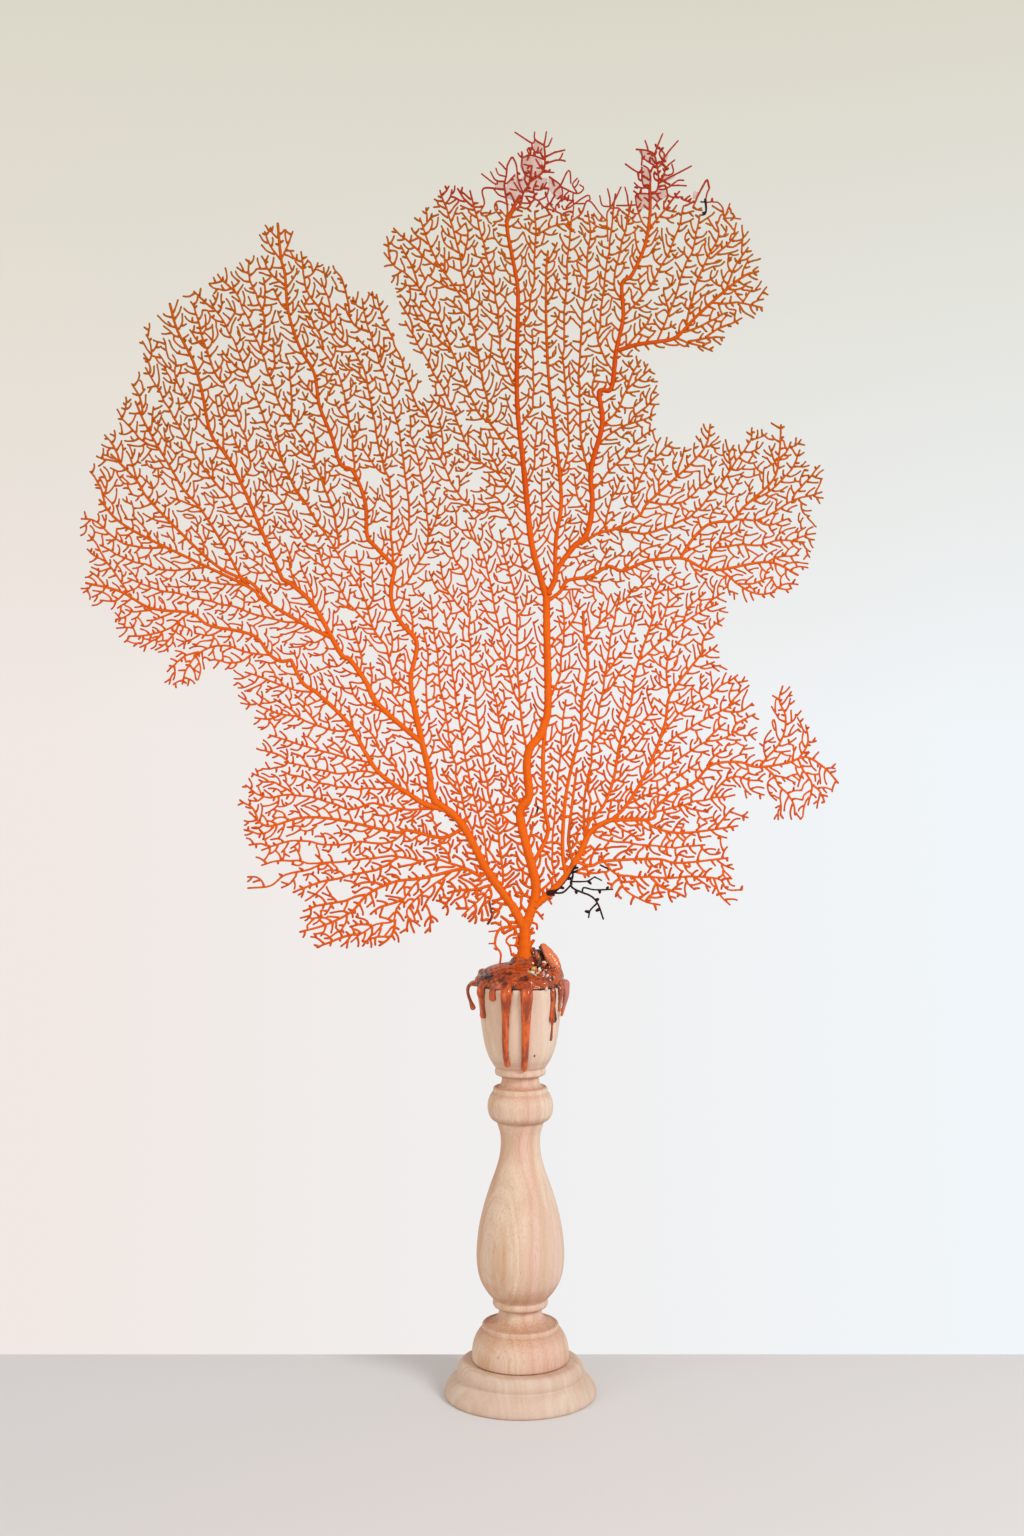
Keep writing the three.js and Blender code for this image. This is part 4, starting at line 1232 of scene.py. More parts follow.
        (0.5, 0.42, -10.2, 377, -9.5, 377, -14.5, 378.5, -16, 375, -12, 369.5),
        (0.45, 0.4, -10.5, 371, -13.5, 374.5),
        (0.5, 0.42, -11, 388, -10, 388, -6, 392.2),
        (0.45, 0.4, -2, 383, -4.5, 384.5, -6.5, 388.5),
        (0.45, 0.4, -5, 384.5, -8.5, 385.2),
        (0.5, 0.42, -3, 378, 1.5, 378.5, 3.5, 381, 3, 385, 4.8, 389),
        (0.5, 0.42, 3, 381, -1, 381.5),
        (0.5, 0.42, 3.5, 385, 7, 385.5, 10, 388.5),
        (0.55, 0.45, -3.5, 376, 0, 375.5, 3, 379.5, 5.5, 379.5, 9, 375.8, 18.5, 372, 21, 368),
        (0.5, 0.42, 5.5, 379.5, 9.5, 382, 11, 385.5),
        (0.45, 0.4, 14.5, 374.5, 11, 378, 10, 382),
        (0.45, 0.4, 13, 377.5, 10, 378, 11, 378.2),
        (0.5, 0.42, 11, 391.5, 16.8, 386.8, 17.5, 381, 14.5, 377, 14.5, 374.5),
        (0.5, 0.42, 16.8, 386.8, 21, 394.6, 22, 388),
        (0.5, 0.4, 17, 386.5, 25, 383, 28.5, 385.5, 26.5, 387.2),
        (0.45, 0.4, 25, 383.5, 22.5, 387.5, 25.2, 390.5),
        (0.45, 0.4, 24, 386, 26, 389.5),
        (0.45, 0.4, 21.3, 384.5, 18.5, 381.5, 19.5, 380, 23.5, 379.5),
        (0.5, 0.42, 17.5, 377, 19.5, 375.2, 30, 381.8, 31.5, 381),
        (0.45, 0.4, 23.5, 377.5, 23.2, 383),
        (0.45, 0.4, 24.5, 378, 28.5, 378),
        (0.55, 0.42, 21, 368, 27, 373, 31, 379.5, 39.6, 369.5),
        (0.45, 0.4, 31, 379.5, 31.5, 381),
        (0.45, 0.4, 23, 371, 23.5, 376.5),
        (0.7, 0.5, -2, 245, -17, 265, -20, 273.5, -21, 284, -35.5, 359, -43.5, 384),
        (0.62, 0.5, -0.5, 229, -8.5, 235, -16, 244, -23.5, 248, -31, 259, -40.5, 281.5, -61, 319),
        (0.62, 0.5, -18.5, 269.5, -20, 269, -28.5, 281.5, -43.5, 319, -49.5, 329, -56, 338, -64.5, 345,
         -71.5, 353),
        (0.62, 0.5, -5, 284, -11, 296.5, -13.5, 309, -16.5, 336.5, -28.5, 384),
        (0.62, 0.5, -29.8, 329.2, -31, 329, -44.5, 348, -53.5, 370),
        (0.62, 0.5, -4.5, 314, 1.5, 324, 4.5, 359, 4, 374),
        (0.62, 0.5, -2.5, 266.5, 3, 279, 2.5, 314),
        (0.58, 0.5, 4.2, 363, 6.5, 363, 12.5, 366, 19.5, 367, 24, 363),
    ],
    "top_right": [
        (1.45, 1.2, 10.5, 182, 14, 189, 15, 194, 23, 205, 29.5, 211.5, 32.5, 226.5, 32, 244, 37.5, 266.5,
         36, 282.5, 42, 284.5, 44.5, 303),
        (1.1, 0.8, 44.5, 303, 48, 320.5, 47.5, 337, 52.5, 341.5, 59, 356.5, 61.5, 372, 61.5, 387),
        (0.6, 0.45, 61.5, 385, 62, 390.5, 61, 395, 58.5, 397),
        (0.55, 0.5, 61.5, 383.2, 65, 383.8, 66.1, 388.5, 64.2, 401, 60.8, 404.2, 54.9, 405.2),
        (0.5, 0.4, 60.8, 404.2, 59.2, 409.6),
        (0.55, 0.4, 63.8, 402, 68.1, 413),
        (0.5, 0.4, 65.9, 405.5, 68.4, 401.6, 65.2, 395),
        (0.55, 0.4, 67, 398, 75.8, 409.5),
        (0.55, 0.42, 66.1, 388, 82.4, 396.5),
        (0.5, 0.4, 67.5, 389, 69.5, 396, 74, 399.5),
        (0.45, 0.4, 72.5, 397.5, 73.2, 393.5, 70.5, 392, 68.5, 392.8),
        (0.5, 0.42, 49.2, 398, 55.4, 394, 58.9, 393.8, 57.8, 393.8),
        (0.5, 0.42, 57.5, 397, 57, 404, 55.8, 405),
        (0.5, 0.42, 57.5, 396.5, 58.5, 387, 61.5, 385.5),
        (0.45, 0.4, 64.5, 396.5, 58.8, 400.2),
        (0.5, 0.42, 61.5, 386, 56.9, 385.8, 53.9, 388.5),
        (0.5, 0.42, 53.4, 384.5, 55.5, 382.5, 59.5, 382.5, 61.5, 382.5),
        (0.5, 0.42, 65.2, 385.2, 66, 385, 69.5, 385.4, 75.3, 389.4, 78.5, 389.5),
        (0.45, 0.42, 72, 386.8, 79.9, 386.8),
        (0.45, 0.42, 70, 385, 71.5, 382, 78, 381.2),
        (0.45, 0.4, 61.5, 382.5, 67, 383),
        (0.5, 0.42, 61.5, 381.5, 65.5, 378.5, 63, 375),
        (0.45, 0.4, 65.5, 378.5, 67.5, 380),
        (0.5, 0.45, 61, 364.5, 57, 369.5, 54.5, 381, 55.5, 382.5),
        (0.45, 0.4, 56.5, 372.5, 53, 373, 51, 376),
        (0.45, 0.4, 57, 368.5, 54, 368, 51.5, 371),
        (0.45, 0.4, 61, 369.5, 58, 370.5),
        (0.5, 0.45, 55, 377, 45, 377),
        (0.5, 0.4, 50.8, 377.5, 49.2, 386.5),
        (0.5, 0.42, 42, 376, 47.2, 386.5),
        (0.5, 0.42, 41.8, 376, 40.5, 385.5),
        (0.45, 0.4, 41.5, 376.5, 37.5, 377, 36.5, 382),
        (0.5, 0.45, 41.5, 375.5, 40, 372, 40.5, 359),
        (0.45, 0.4, 40.5, 369.5, 36.5, 369.5, 33.5, 373),
        (0.45, 0.4, 40.5, 365, 35.5, 366, 31, 369.5),
        (0.45, 0.4, 41.5, 375.5, 45.5, 376, 47.5, 374),
        (0.6, 0.5, 91.2, 385.5, 89.5, 389, 83, 375.5),
        (0.5, 0.4, 91.4, 385.5, 89.5, 379.5),
        (0.45, 0.4, 89.5, 378, 95.5, 378),
        (0.45, 0.4, 101.5, 377.5, 98.5, 369, 98.5, 371.2),
        (0.45, 0.4, 98.5, 371.5, 98, 375.5, 95.5, 378),
        (0.45, 0.4, 107, 369.5, 99, 370),
        (1.1, 0.6, 14, 190, 14.5, 209, 17, 229, 14, 264, 11.5, 282.5, 10, 304, 9.5, 339, 10.5, 354),
        (0.7, 0.5, 32, 239, 27.5, 256.5, 26.5, 274, 26.5, 304, 31.5, 363, 30.5, 374),
        (0.62, 0.5, 16, 239, 21, 254, 18.5, 299, 20, 344, 22.5, 371.5),
        (0.62, 0.5, 43, 293, 36.5, 304, 36.5, 319, 44.5, 383),
        (0.62, 0.5, 47.8, 329, 49, 329, 44, 339, 52.5, 379),
        (0.62, 0.5, 38, 266.5, 45.5, 274, 50.5, 284, 61.5, 294),
        (0.62, 0.5, 35.5, 256.5, 44, 263, 64, 271.5),
        (0.62, 0.5, 33, 234, 56.5, 259, 64, 264),
        (0.62, 0.5, 47.5, 320, 56.5, 329, 64, 339, 75.5, 364, 78.5, 376.5),
        (0.62, 0.5, 60.5, 363, 76.5, 384),
        (0.62, 0.5, 31.5, 220, 25.5, 229, 23.5, 241.5),
    ],
    "dead_top": [
        (0.7, 0.45, 89.2, 380, 89, 372.5, 86.5, 371.5),
        (0.45, 0.4, 89.2, 379, 87, 378.5),
    ],
    "overhang": [
        (1.1, 0.6, 45, 303.5, 55, 306.5, 67, 308, 75, 310.5, 85.5, 321.5, 106.5, 339.5, 115.5, 343),
        (0.7, 0.5, 79.5, 316.5, 86, 341, 95.5, 360, 94.5, 368),
        (0.62, 0.5, 74, 310, 92.5, 303),
        (0.62, 0.5, 65, 308, 70.5, 320, 78.5, 344, 83.5, 355, 86.5, 371.5),
        (0.62, 0.5, 92, 327.5, 109, 327, 117.5, 325),
        (0.62, 0.5, 91, 350.8, 92.5, 350, 100.5, 356.5, 105.5, 363),
        (0.62, 0.5, 99.5, 334, 104.5, 346.5, 110.5, 355),
    ],
    "right_middle": [
        (1, 0.6, 10.5, 178.5, 16.5, 183, 20.5, 188.5, 31.5, 190.5, 40.5, 195.5, 47.5, 193.5, 59, 198,
         65.5, 199, 78, 199.5, 87.5, 195, 96.5, 194, 120.5, 198, 135.5, 191.5),
        (0.85, 0.5, 76.5, 199.5, 82, 208.5, 89.5, 216, 96.5, 218, 103, 218.5, 108, 225, 123, 239,
         126, 251.5, 127, 266.5),
        (0.85, 0.5, 26.5, 206.5, 35.5, 212, 44.5, 214.5, 56, 221, 60.5, 227.5, 81.5, 246.5, 89.5, 256.5,
         91.5, 266.5),
        (0.7, 0.5, 45, 214.8, 45.5, 214, 58.5, 212, 70, 215, 78, 219, 86.5, 225, 109, 254, 112.5, 265),
        (0.62, 0.5, 61.5, 227.5, 70.5, 226.5, 81.5, 230, 89.5, 238, 94.5, 248),
        (0.62, 0.5, 104, 219, 114, 219, 124, 223, 134, 229, 147.5, 233),
        (0.62, 0.5, 111.5, 228, 121.5, 234, 131.5, 244, 136.5, 254),
        (0.62, 0.5, 89, 195, 94, 204, 104, 206.5, 116.5, 206.5, 129, 209, 139, 208),
        (0.62, 0.5, 64, 198.5, 69, 206.5, 76.5, 211.5),
        (0.62, 0.5, 96.5, 194, 111.5, 183, 124, 183),
        (0.62, 0.5, 47.5, 193.5, 56.5, 203, 66.5, 206.5),
        (0.62, 0.5, 56.5, 221, 52.5, 229, 61.5, 249),
    ],
    "right_rays": [
        (1.95, 1.3, 3.5, 25.5, 17, 37.8, 26, 51.5, 31, 62, 36.5, 66.5, 42.5, 69),
        (0.95, 0.6, 42.5, 69, 50, 76.5, 61, 95.5, 69, 117, 71.5, 131, 81.5, 145, 89, 154),
        (1, 0.7, 19.5, 41, 18, 51, 18, 63, 19.5, 81.5, 23.5, 100.5, 27, 113, 27.5, 128, 30.5, 146.5,
         28.5, 161.5, 28, 173),
        (0.85, 0.55, 28, 55, 31, 67.5, 38.5, 76.5, 43.5, 90, 46.5, 107, 52, 127.5, 54.5, 144, 64, 173),
        (0.7, 0.5, 29, 60, 31, 72.5, 32, 95.5, 36.5, 128, 46.5, 183),
        (0.7, 0.5, 10, 129, 15.5, 139, 17.5, 151.5, 18.5, 164, 17.5, 176.5),
        (0.7, 0.5, 28.5, 154, 33.5, 164, 41.5, 172.5, 45.5, 180),
        (0.62, 0.5, 9.5, 151.5, 14.5, 159, 22.5, 168, 26.5, 179),
        (0.62, 0.5, 55, 84.5, 84, 105, 96.5, 109, 109, 115),
        (0.62, 0.5, 61.5, 96, 70.5, 106.5, 81.5, 115, 106.5, 129),
        (0.62, 0.5, 67, 110, 76.5, 121.5, 105.5, 141.5),
        (0.62, 0.5, 56.5, 149, 66.5, 158, 86.5, 173, 95.5, 177),
        (0.62, 0.5, 14.5, 38, 13, 54, 13.5, 69, 19.5, 129),
        (0.62, 0.5, 50, 76.5, 66.5, 84, 86.5, 98),
        (0.62, 0.5, 71.5, 132, 69.5, 144, 72.5, 154, 81.5, 163),
    ],
    "right_outer": [
        (0.9, 0.5, 42.5, 69, 62.5, 69.5, 64.5, 75, 72.5, 82, 84, 88, 92.5, 96.5, 106, 98, 115.5, 95.5,
         130, 97.5, 139.5, 100.5, 149, 95, 155.5, 87.5),
        (0.62, 0.5, 117.5, 96.5, 127, 108, 129.5, 120.5, 126.5, 129, 128, 136),
        (0.62, 0.5, 119, 95.5, 132, 79, 134, 71.5),
        (0.58, 0.5, 135.5, 99, 140.5, 108, 139.5, 116.5),
        (0.62, 0.5, 64.5, 73, 89, 79, 104, 81.5),
        (0.58, 0.5, 135.5, 99, 136.5, 98, 142.5, 86.5, 140.5, 76.5),
    ],
    "right_low": [
        (0.85, 0.5, 42.5, 68.5, 57, 69.5, 64.5, 65, 78, 62.5, 105.5, 66),
        (0.85, 0.5, 25, 48, 32, 46, 39.5, 48.5, 64.5, 49.5, 76, 47.5, 100.5, 50),
        (0.7, 0.5, 38.5, 48, 46.5, 41.5, 62.5, 40, 93.5, 40, 100, 34.5, 107.5, 34),
        (0.62, 0.5, 45.5, 42.5, 49.5, 34, 59, 28, 66.5, 26.5),
        (0.62, 0.5, 33.2, 64, 36.5, 60, 61.5, 56, 76.5, 55, 89, 56.5),
        (0.62, 0.5, 93.5, 39.5, 96.5, 31.5, 101.5, 26.5),
        (0.95, 0.6, 23, 48, 21.2, 55, 21, 63, 25, 95),
        (0.85, 0.55, 28, 51, 29, 58, 28.5, 76.5, 31, 93, 32, 93),
    ],
    "dead": [
        (0.6, 0.5, 13, 32.5, 18, 32.8, 22.5, 37),
        (0.62, 0.5, 20.8, 43.5, 23, 42, 22.4, 35.5, 31, 31.8, 35.2, 27.5, 38.1, 19.5),
        (0.5, 0.45, 35.2, 27.5, 31.5, 24, 30.8, 20.2),
        (0.5, 0.42, 27.8, 33.2, 28.5, 35, 34, 33.6, 42.9, 34.2),
        (0.5, 0.42, 22.5, 38.2, 24.5, 38, 30, 38, 34, 40.5),
        (0.45, 0.4, 33.5, 40.5, 37.3, 38.7),
        (0.5, 0.42, 36.5, 46.5, 43.7, 43, 47, 38.5),
    ],
}
# The fan's outer edge, which no twig grows past.
OUTLINE = pairs(
    -23.5, 18, -43.5, 20.5, -48.5, 13, -75.5, 6, -104.5, 5.5, -115.5, 11, -111.5, 27.5, -120, 36,
    -135, 25, -143.5, 34, -136, 44, -136, 53, -141, 60, -140, 69, -145, 80, -143, 89, -134.5, 95.5,
    -124.5, 98, -135, 104, -132, 111.5, -143.5, 129, -147.5, 144, -161.5, 146.5, -163.5, 137.5,
    -171.5, 134, -181, 139, -178.5, 151.5, -203.5, 157.5, -207.5, 175, -220, 176.5, -223.5, 187.5,
    -217.5, 195, -225, 221.5, -213.5, 223, -218, 244, -204.5, 271.5, -191, 295, -193.5, 318, -184.5, 320,
    -178.5, 328.5, -164.5, 334.5, -139.5, 350, -132, 353, -135, 362.5, -124, 368.5, -115, 365, -117, 354,
    -92.5, 343, -87, 337, -90, 330, -79.5, 335.5, -70.5, 327.5, -65, 306.5, -53, 288, -55, 278,
    -45, 282.5, -51, 292, -64.5, 320, -63.5, 333, -73.5, 348, -72, 361, -54.5, 374, -45.5, 376.5,
    -47.5, 385, -28.5, 386, -22.5, 378, -15, 376, -9.5, 386, -4.5, 400, 1.5, 409, 9.5, 406, 12.5, 393,
    19.5, 383, 26.5, 376, 36.5, 373, 53.5, 377, 56, 396, 61.5, 408, 68.5, 405, 72.5, 386, 81.5, 381,
    90, 381, 98.5, 376, 104.5, 374, 112.5, 356.5, 119.5, 336.5, 119.5, 323, 97.5, 313, 96, 300.5,
    76.5, 306, 51.5, 303, 62.5, 295.5, 66.5, 275, 63, 269, 67.5, 260.5, 81.5, 254, 90.5, 270, 96.5, 259,
    109, 256.5, 112.5, 268.5, 119, 263, 127, 270, 138, 257.5, 138, 249, 149, 245, 151, 230, 141.5, 226.5,
    145, 214, 138, 189, 131.5, 182.5, 109, 179, 100, 180, 100, 171.5, 92.5, 159, 98, 154, 93.5, 146.5,
    109.5, 146, 110.5, 129, 117, 120, 111.5, 100.5, 121.5, 115, 124.5, 136.5, 129.5, 137.5, 137, 121.5,
    145, 110.5, 148, 95, 153, 100, 157.5, 85, 136.5, 68.5, 123.5, 68.5, 121.5, 79, 114, 81.5, 99, 79,
    110.5, 71.5, 108.5, 62, 100.5, 64, 103, 39, 111.5, 35, 107, 26, 97.5, 24, 91.5, 32.5, 76.5, 30.5,
    64, 23.5, 42.5, 31, 40, 18.5, 29.5, 18.5, 28, 30.5, 9.5, 30, 4.5, 22, 2.5, 12, 4, -4, -6.5, -4,
    -6.5, 12, -14.5, 13.5
)
# The limbs that hold the stems listed as dead.
DEAD_STEMS = {"dead": "right_low", "dead_top": "top_right"}
# Short stretches of the stems that have died, each as a line, how far it spreads and how dark it is.
DEAD_LINES = [
    ([(11, 32.5), (16, 33.5), (20, 37.5), (24.5, 45)], 1.9, 1.0),
    ([(22.5, 45), (21, 52), (21, 60), (22, 67)], 2.6, 0.44),
    ([(29, 61), (29, 72), (29.5, 84)], 2.2, 0.4),
    ([(5.2, 78), (5.4, 72)], 1.2, 0.7),
    ([(-12, 65), (-9, 60)], 1.3, 0.5),
    ([(-20, 16), (-17.5, 22), (-18.5, 28)], 1.3, 0.6),
]


# --------------------------------------------------------------------------------------------------------
# The fan: its twigs
# --------------------------------------------------------------------------------------------------------
@dataclass
class Branch:
    """A stem or a twig as points half a millimetre apart in the fan's plane."""

    points: np.ndarray
    limb: str
    start: float
    end: float
    order: int
    parent: int = 0
    share: float = 0.0
    joined: bool = False


@dataclass(frozen=True)
class Flush:
    """One round of growth. Lengths are in millimetres and angles in degrees from the parent's direction."""

    order: int
    parents: tuple[int, ...]
    spacing: float
    jitter: float
    angles: tuple[float, float]
    lengths: tuple[float, float]
    gap: float
    side_gap: float
    clear: float
    turn: float
    wander: float
    shortest: float
    radii: tuple[float, float]
    joining: float = 0.0
    stunted: float = 0.0
    near_parent: float = 2.6
    only_near: float = 1000.0


FLUSHES = [
    Flush(1, (0,), 12, 2, (38, 55), (60, 160), 6.5, 4.6, 8.5, 0.10, 0.08, 12, (0.58, 0.46), near_parent=8),
    Flush(1, (0, 1), 10, 2, (38, 55), (40, 120), 5.5, 4.2, 7.5, 0.10, 0.08, 10, (0.55, 0.45), near_parent=7),
    Flush(2, (0, 1), 5.4, 1.5, (54, 90), (5, 15), 1.9, 1.35, 0, 0.09, 0.1, 1.0, (0.48, 0.42), 0.45, 0.08),
    Flush(2, (2,), 6.0, 1.4, (45, 80), (6, 20), 1.9, 1.5, 4.4, 0.09, 0.1, 3.0, (0.47, 0.41), 0.45),
    Flush(3, (2,), 6.0, 1.4, (45, 80), (2.5, 8), 1.8, 1.35, 2.9, 0.08, 0.1, 1.5, (0.45, 0.4), 0.4),
    Flush(3, (0, 1, 2, 3), 5.0, 1.8, (50, 85), (2, 9), 1.5, 1.2, 2.6, 0.08, 0.1, 1.2, (0.46, 0.4), 0.55,
          only_near=105),
    Flush(4, (0, 1, 2), 15, 3, (60, 88), (1.2, 1.9), 1.2, 1.0, 1.9, 0.05, 0.05, 1.0, (0.48, 0.42)),
]


@dataclass
class TwigGrowth:
    """Grows twigs in the fan's plane so that they fill it and hardly cross.

    The plane is a grid of small cells, each holding the number of the branch that passes through it, or 0.
    In a round all new tips advance together by half a millimetre a step. A tip bends a little towards the
    flow of the main stems near it and towards the more open side, and stops when what it meets ahead is
    nearer than the gap. Some tips join what they meet instead. Stems are straight from one radius up.
    Low down and far out, only the thin share of the tips grows.
    """

    seed: int = 7
    cell: float = 0.25
    corner: tuple[float, float] = (-236.0, -22.0)
    columns: int = 1660
    rows: int = 1800
    step: float = 0.5
    coarse: float = 5.0
    straight: float = 0.75
    thin_below: float = 62.0
    thin_beyond: float = 30.0
    thin_share: float = 0.62
    branches: list[Branch] = field(default_factory=list)

    def __post_init__(self) -> None:
        """Marks the inside of the outline, lays the main stems and works out their flow."""
        self.rng = np.random.default_rng(self.seed)
        self.owner = np.zeros((self.rows, self.columns), np.int32)
        self.inside = self.within(OUTLINE)
        for limb, rows in STEMS.items():
            for start, end, *flat in rows:
                points = self.zigzag(smooth_path(pairs(*flat), self.step), start)
                self.branches.append(Branch(points, limb, start, end, 0))
                reach = int(np.clip(round((start + end) / 2 / self.cell), 1, 8))
                self.stamp(points, len(self.branches), reach)
        self.flow = self.make_flow()

    def zigzag(self, points: np.ndarray, radius: float) -> np.ndarray:
        """Moves a thin stem's points sideways a little, from bend to bend, as where twigs leave it."""
        if radius >= self.straight:
            return points
        count = len(points)
        bends = self.rng.normal(0, 0.32, max(3, count // 9))
        bends[[0, -1]] = 0
        aside = np.interp(np.arange(count), np.linspace(0, count - 1, len(bends)), bends)
        return points + self.left_of(directions(points)) * aside[:, None]

    @staticmethod
    def left_of(way: np.ndarray) -> np.ndarray:
        """Gives directions turned a quarter to the left."""
        return np.stack([-way[..., 1], way[..., 0]], -1)

    @staticmethod
    def turned(way: np.ndarray, angle: np.ndarray) -> np.ndarray:
        """Turns directions by angles in radians."""
        c, s = np.cos(angle), np.sin(angle)
        return np.stack([way[..., 0] * c - way[..., 1] * s, way[..., 0] * s + way[..., 1] * c], -1)

    def within(self, outline: Sequence[tuple[float, float]]) -> np.ndarray:
        """Tells which cells lie inside a closed outline: a row's cells flip at each edge to their left."""
        mask = np.zeros((self.rows, self.columns), dtype=bool)
        x = self.corner[0] + self.cell * (np.arange(self.columns) + 0.5)
        z = self.corner[1] + self.cell * (np.arange(self.rows) + 0.5)
        edge = np.array(outline, dtype=float)
        for a, b in zip(edge, np.roll(edge, -1, axis=0)):
            rows = np.nonzero((z >= min(a[1], b[1])) & (z < max(a[1], b[1])))[0]
            if len(rows):
                crossing = a[0] + (z[rows] - a[1]) * (b[0] - a[0]) / (b[1] - a[1])
                mask[rows] ^= x[None, :] > crossing[:, None]
        return mask

    def cells_of(self, points: np.ndarray) -> tuple[np.ndarray, np.ndarray]:
        """Gives the row and the column of the cell under each point."""
        row = np.clip(((points[..., 1] - self.corner[1]) / self.cell).astype(int), 0, self.rows - 1)
        column = np.clip(((points[..., 0] - self.corner[0]) / self.cell).astype(int), 0, self.columns - 1)
        return row, column

    def stamp(self, points: np.ndarray, numbers: Any, reach: int = 1) -> None:
        """Writes branch numbers into the free cells within reach of points."""
        row, column = self.cells_of(points)
        for down in range(-reach, reach + 1):
            for across in range(-reach, reach + 1):
                a = np.clip(row + down, 0, self.rows - 1)
                b = np.clip(column + across, 0, self.columns - 1)
                free = self.owner[a, b] == 0
                self.owner[a[free], b[free]] = numbers if np.ndim(numbers) == 0 else numbers[free]

    def make_flow(self) -> np.ndarray:
        """Blends the main stems' directions over a coarse grid, the near ones counting most."""
        points = np.vstack([b.points[::6] for b in self.branches if len(b.points) > 12])
        way = np.vstack([directions(b.points[::6]) for b in self.branches if len(b.points) > 12])
        x = np.arange(self.corner[0], self.corner[0] + self.cell * self.columns, self.coarse)
        z = np.arange(self.corner[1], self.corner[1] + self.cell * self.rows, self.coarse)
        spots = np.stack(np.meshgrid(x, z), -1).reshape(-1, 2)
        blend = []
        for part in np.array_split(spots, 8):
            near = 1 / (((part[:, None] - points[None]) ** 2).sum(-1) + 9.0) ** 1.6
            blend.append(near @ way)
        flow = np.vstack(blend)
        flow /= np.linalg.norm(flow, axis=1)[:, None] + 1e-9
        return flow.reshape(len(z), len(x), 2)

    def flow_at(self, points: np.ndarray) -> np.ndarray:
        """Reads the flow under points."""
        row = ((points[:, 1] - self.corner[1]) / self.coarse + 0.5).astype(int)
        column = ((points[:, 0] - self.corner[0]) / self.coarse + 0.5).astype(int)
        return self.flow[np.clip(row, 0, len(self.flow) - 1), np.clip(column, 0, self.flow.shape[1] - 1)]

    def sprout(self, flush: Flush) -> tuple[np.ndarray, np.ndarray, np.ndarray, np.ndarray]:
        """Places new tips along the parents, left and right in turn.

        Args:
            flush: the round of growth.

        Returns:
            The tips' places, directions, parents and how far along their parents they start, from 0 to 1.
        """
        places, ways, parents, shares = [], [], [], []
        for number, parent in enumerate(self.branches, 1):
            length = (len(parent.points) - 1) * self.step
            count = int((length - 1.0) / (flush.spacing / 2))
            bare = parent.limb in DEAD_STEMS and flush.order < 4
            x, z = parent.points[len(parent.points) // 2]
            thin = flush.order in (2, 3) and z < self.thin_below and abs(x) > self.thin_beyond
            if parent.order not in flush.parents or count < 1 or bare:
                continue
            along = (0.5 + np.arange(count) / 2) * flush.spacing
            along = np.clip(along + self.rng.uniform(-flush.jitter, flush.jitter, count), 0.3, length - 0.3)
            side = np.where(np.arange(count) % 2 == 0, 1, -1) * self.rng.choice([-1, 1])
            mark = np.arange(len(parent.points)) * self.step
            spot = np.column_stack([np.interp(along, mark, c) for c in parent.points.T])
            heading = np.column_stack([np.interp(along, mark, c) for c in directions(parent.points).T])
            way = self.turned(heading, np.radians(self.rng.uniform(*flush.angles, count)) * side)
            kept = self.rng.random(count) < (self.thin_share if thin else 1.0)
            kept &= np.linalg.norm(spot, axis=1) < flush.only_near
            share = along / length
            radius = parent.start + (parent.end - parent.start) * share
            places.append((spot + way * (radius * 0.85)[:, None])[kept])
            ways.append(way[kept])
            parents.append(np.full(kept.sum(), number))
            shares.append(share[kept])
        return np.vstack(places), np.vstack(ways), np.concatenate(parents), np.concatenate(shares)

    def look(self, places: np.ndarray, ways: np.ndarray, angles: np.ndarray, reach: float,
             ignore: list[np.ndarray]) -> tuple[np.ndarray, np.ndarray]:
        """Looks along rays from points to the first branch that is met.

        Args:
            places: the points.
            ways: the direction of each.
            angles: the rays' angles to that direction, in radians.
            reach: how far the rays go.
            ignore: branch numbers that each point's rays pass through.

        Returns:
            The free distance along each ray, and the rays' directions.
        """
        steps = np.arange(0.5, reach + 0.01, self.cell)
        rays = self.turned(ways[:, None, :], angles[None, :])
        row, column = self.cells_of(places[:, None, None] + rays[:, :, None] * steps[None, None, :, None])
        found = self.owner[row, column]
        hit = found != 0
        for numbers in ignore:
            hit &= found != numbers[:, None, None]
        return np.where(hit.any(2), steps[hit.argmax(2)], reach), rays

    def grow(self, flush: Flush) -> None:
        """Grows one round of twigs.

        Args:
            flush: what to grow.
        """
        places, ways, parents, shares = self.sprout(flush)
        count = len(places)
        order = self.rng.permutation(count)
        places, ways, parents, shares = places[order], ways[order], parents[order], shares[order]
        lengths = self.rng.uniform(*flush.lengths, count)
        stunted = self.rng.random(count) < flush.stunted
        lengths = np.where(stunted, self.rng.uniform(1.3, 2.6, count), lengths)
        joining = self.rng.random(count) < flush.joining
        margin = self.rng.uniform(-1.5, 1.5, count)
        numbers = len(self.branches) + 1 + np.arange(count)
        alive = np.ones(count, dtype=bool)
        if flush.clear:
            ahead, _ = self.look(places, ways, np.radians([0, -25, 25]), flush.clear + self.cell, [parents])
            alive = ahead.min(1) > flush.clear
        rays = np.radians([0, -20, 20, -42, 42, -66, 66])
        reach = flush.gap + 1.5
        trail = np.repeat(places[None], int(lengths.max() / self.step) + 2, axis=0)
        taken = np.zeros(count, dtype=int)
        joined = np.zeros(count, dtype=bool)
        for tick in range(1, len(trail)):
            now = np.nonzero(alive)[0]
            if not len(now):
                break
            here, gone = places[now], tick * self.step
            drift = self.rng.normal(size=(len(now), 2))
            way = ways[now] + flush.turn * self.flow_at(here) + flush.wander * drift
            way /= np.linalg.norm(way, axis=1)[:, None]
            young = gone < flush.near_parent
            ignore = [numbers[now], parents[now]] if young else [numbers[now]]
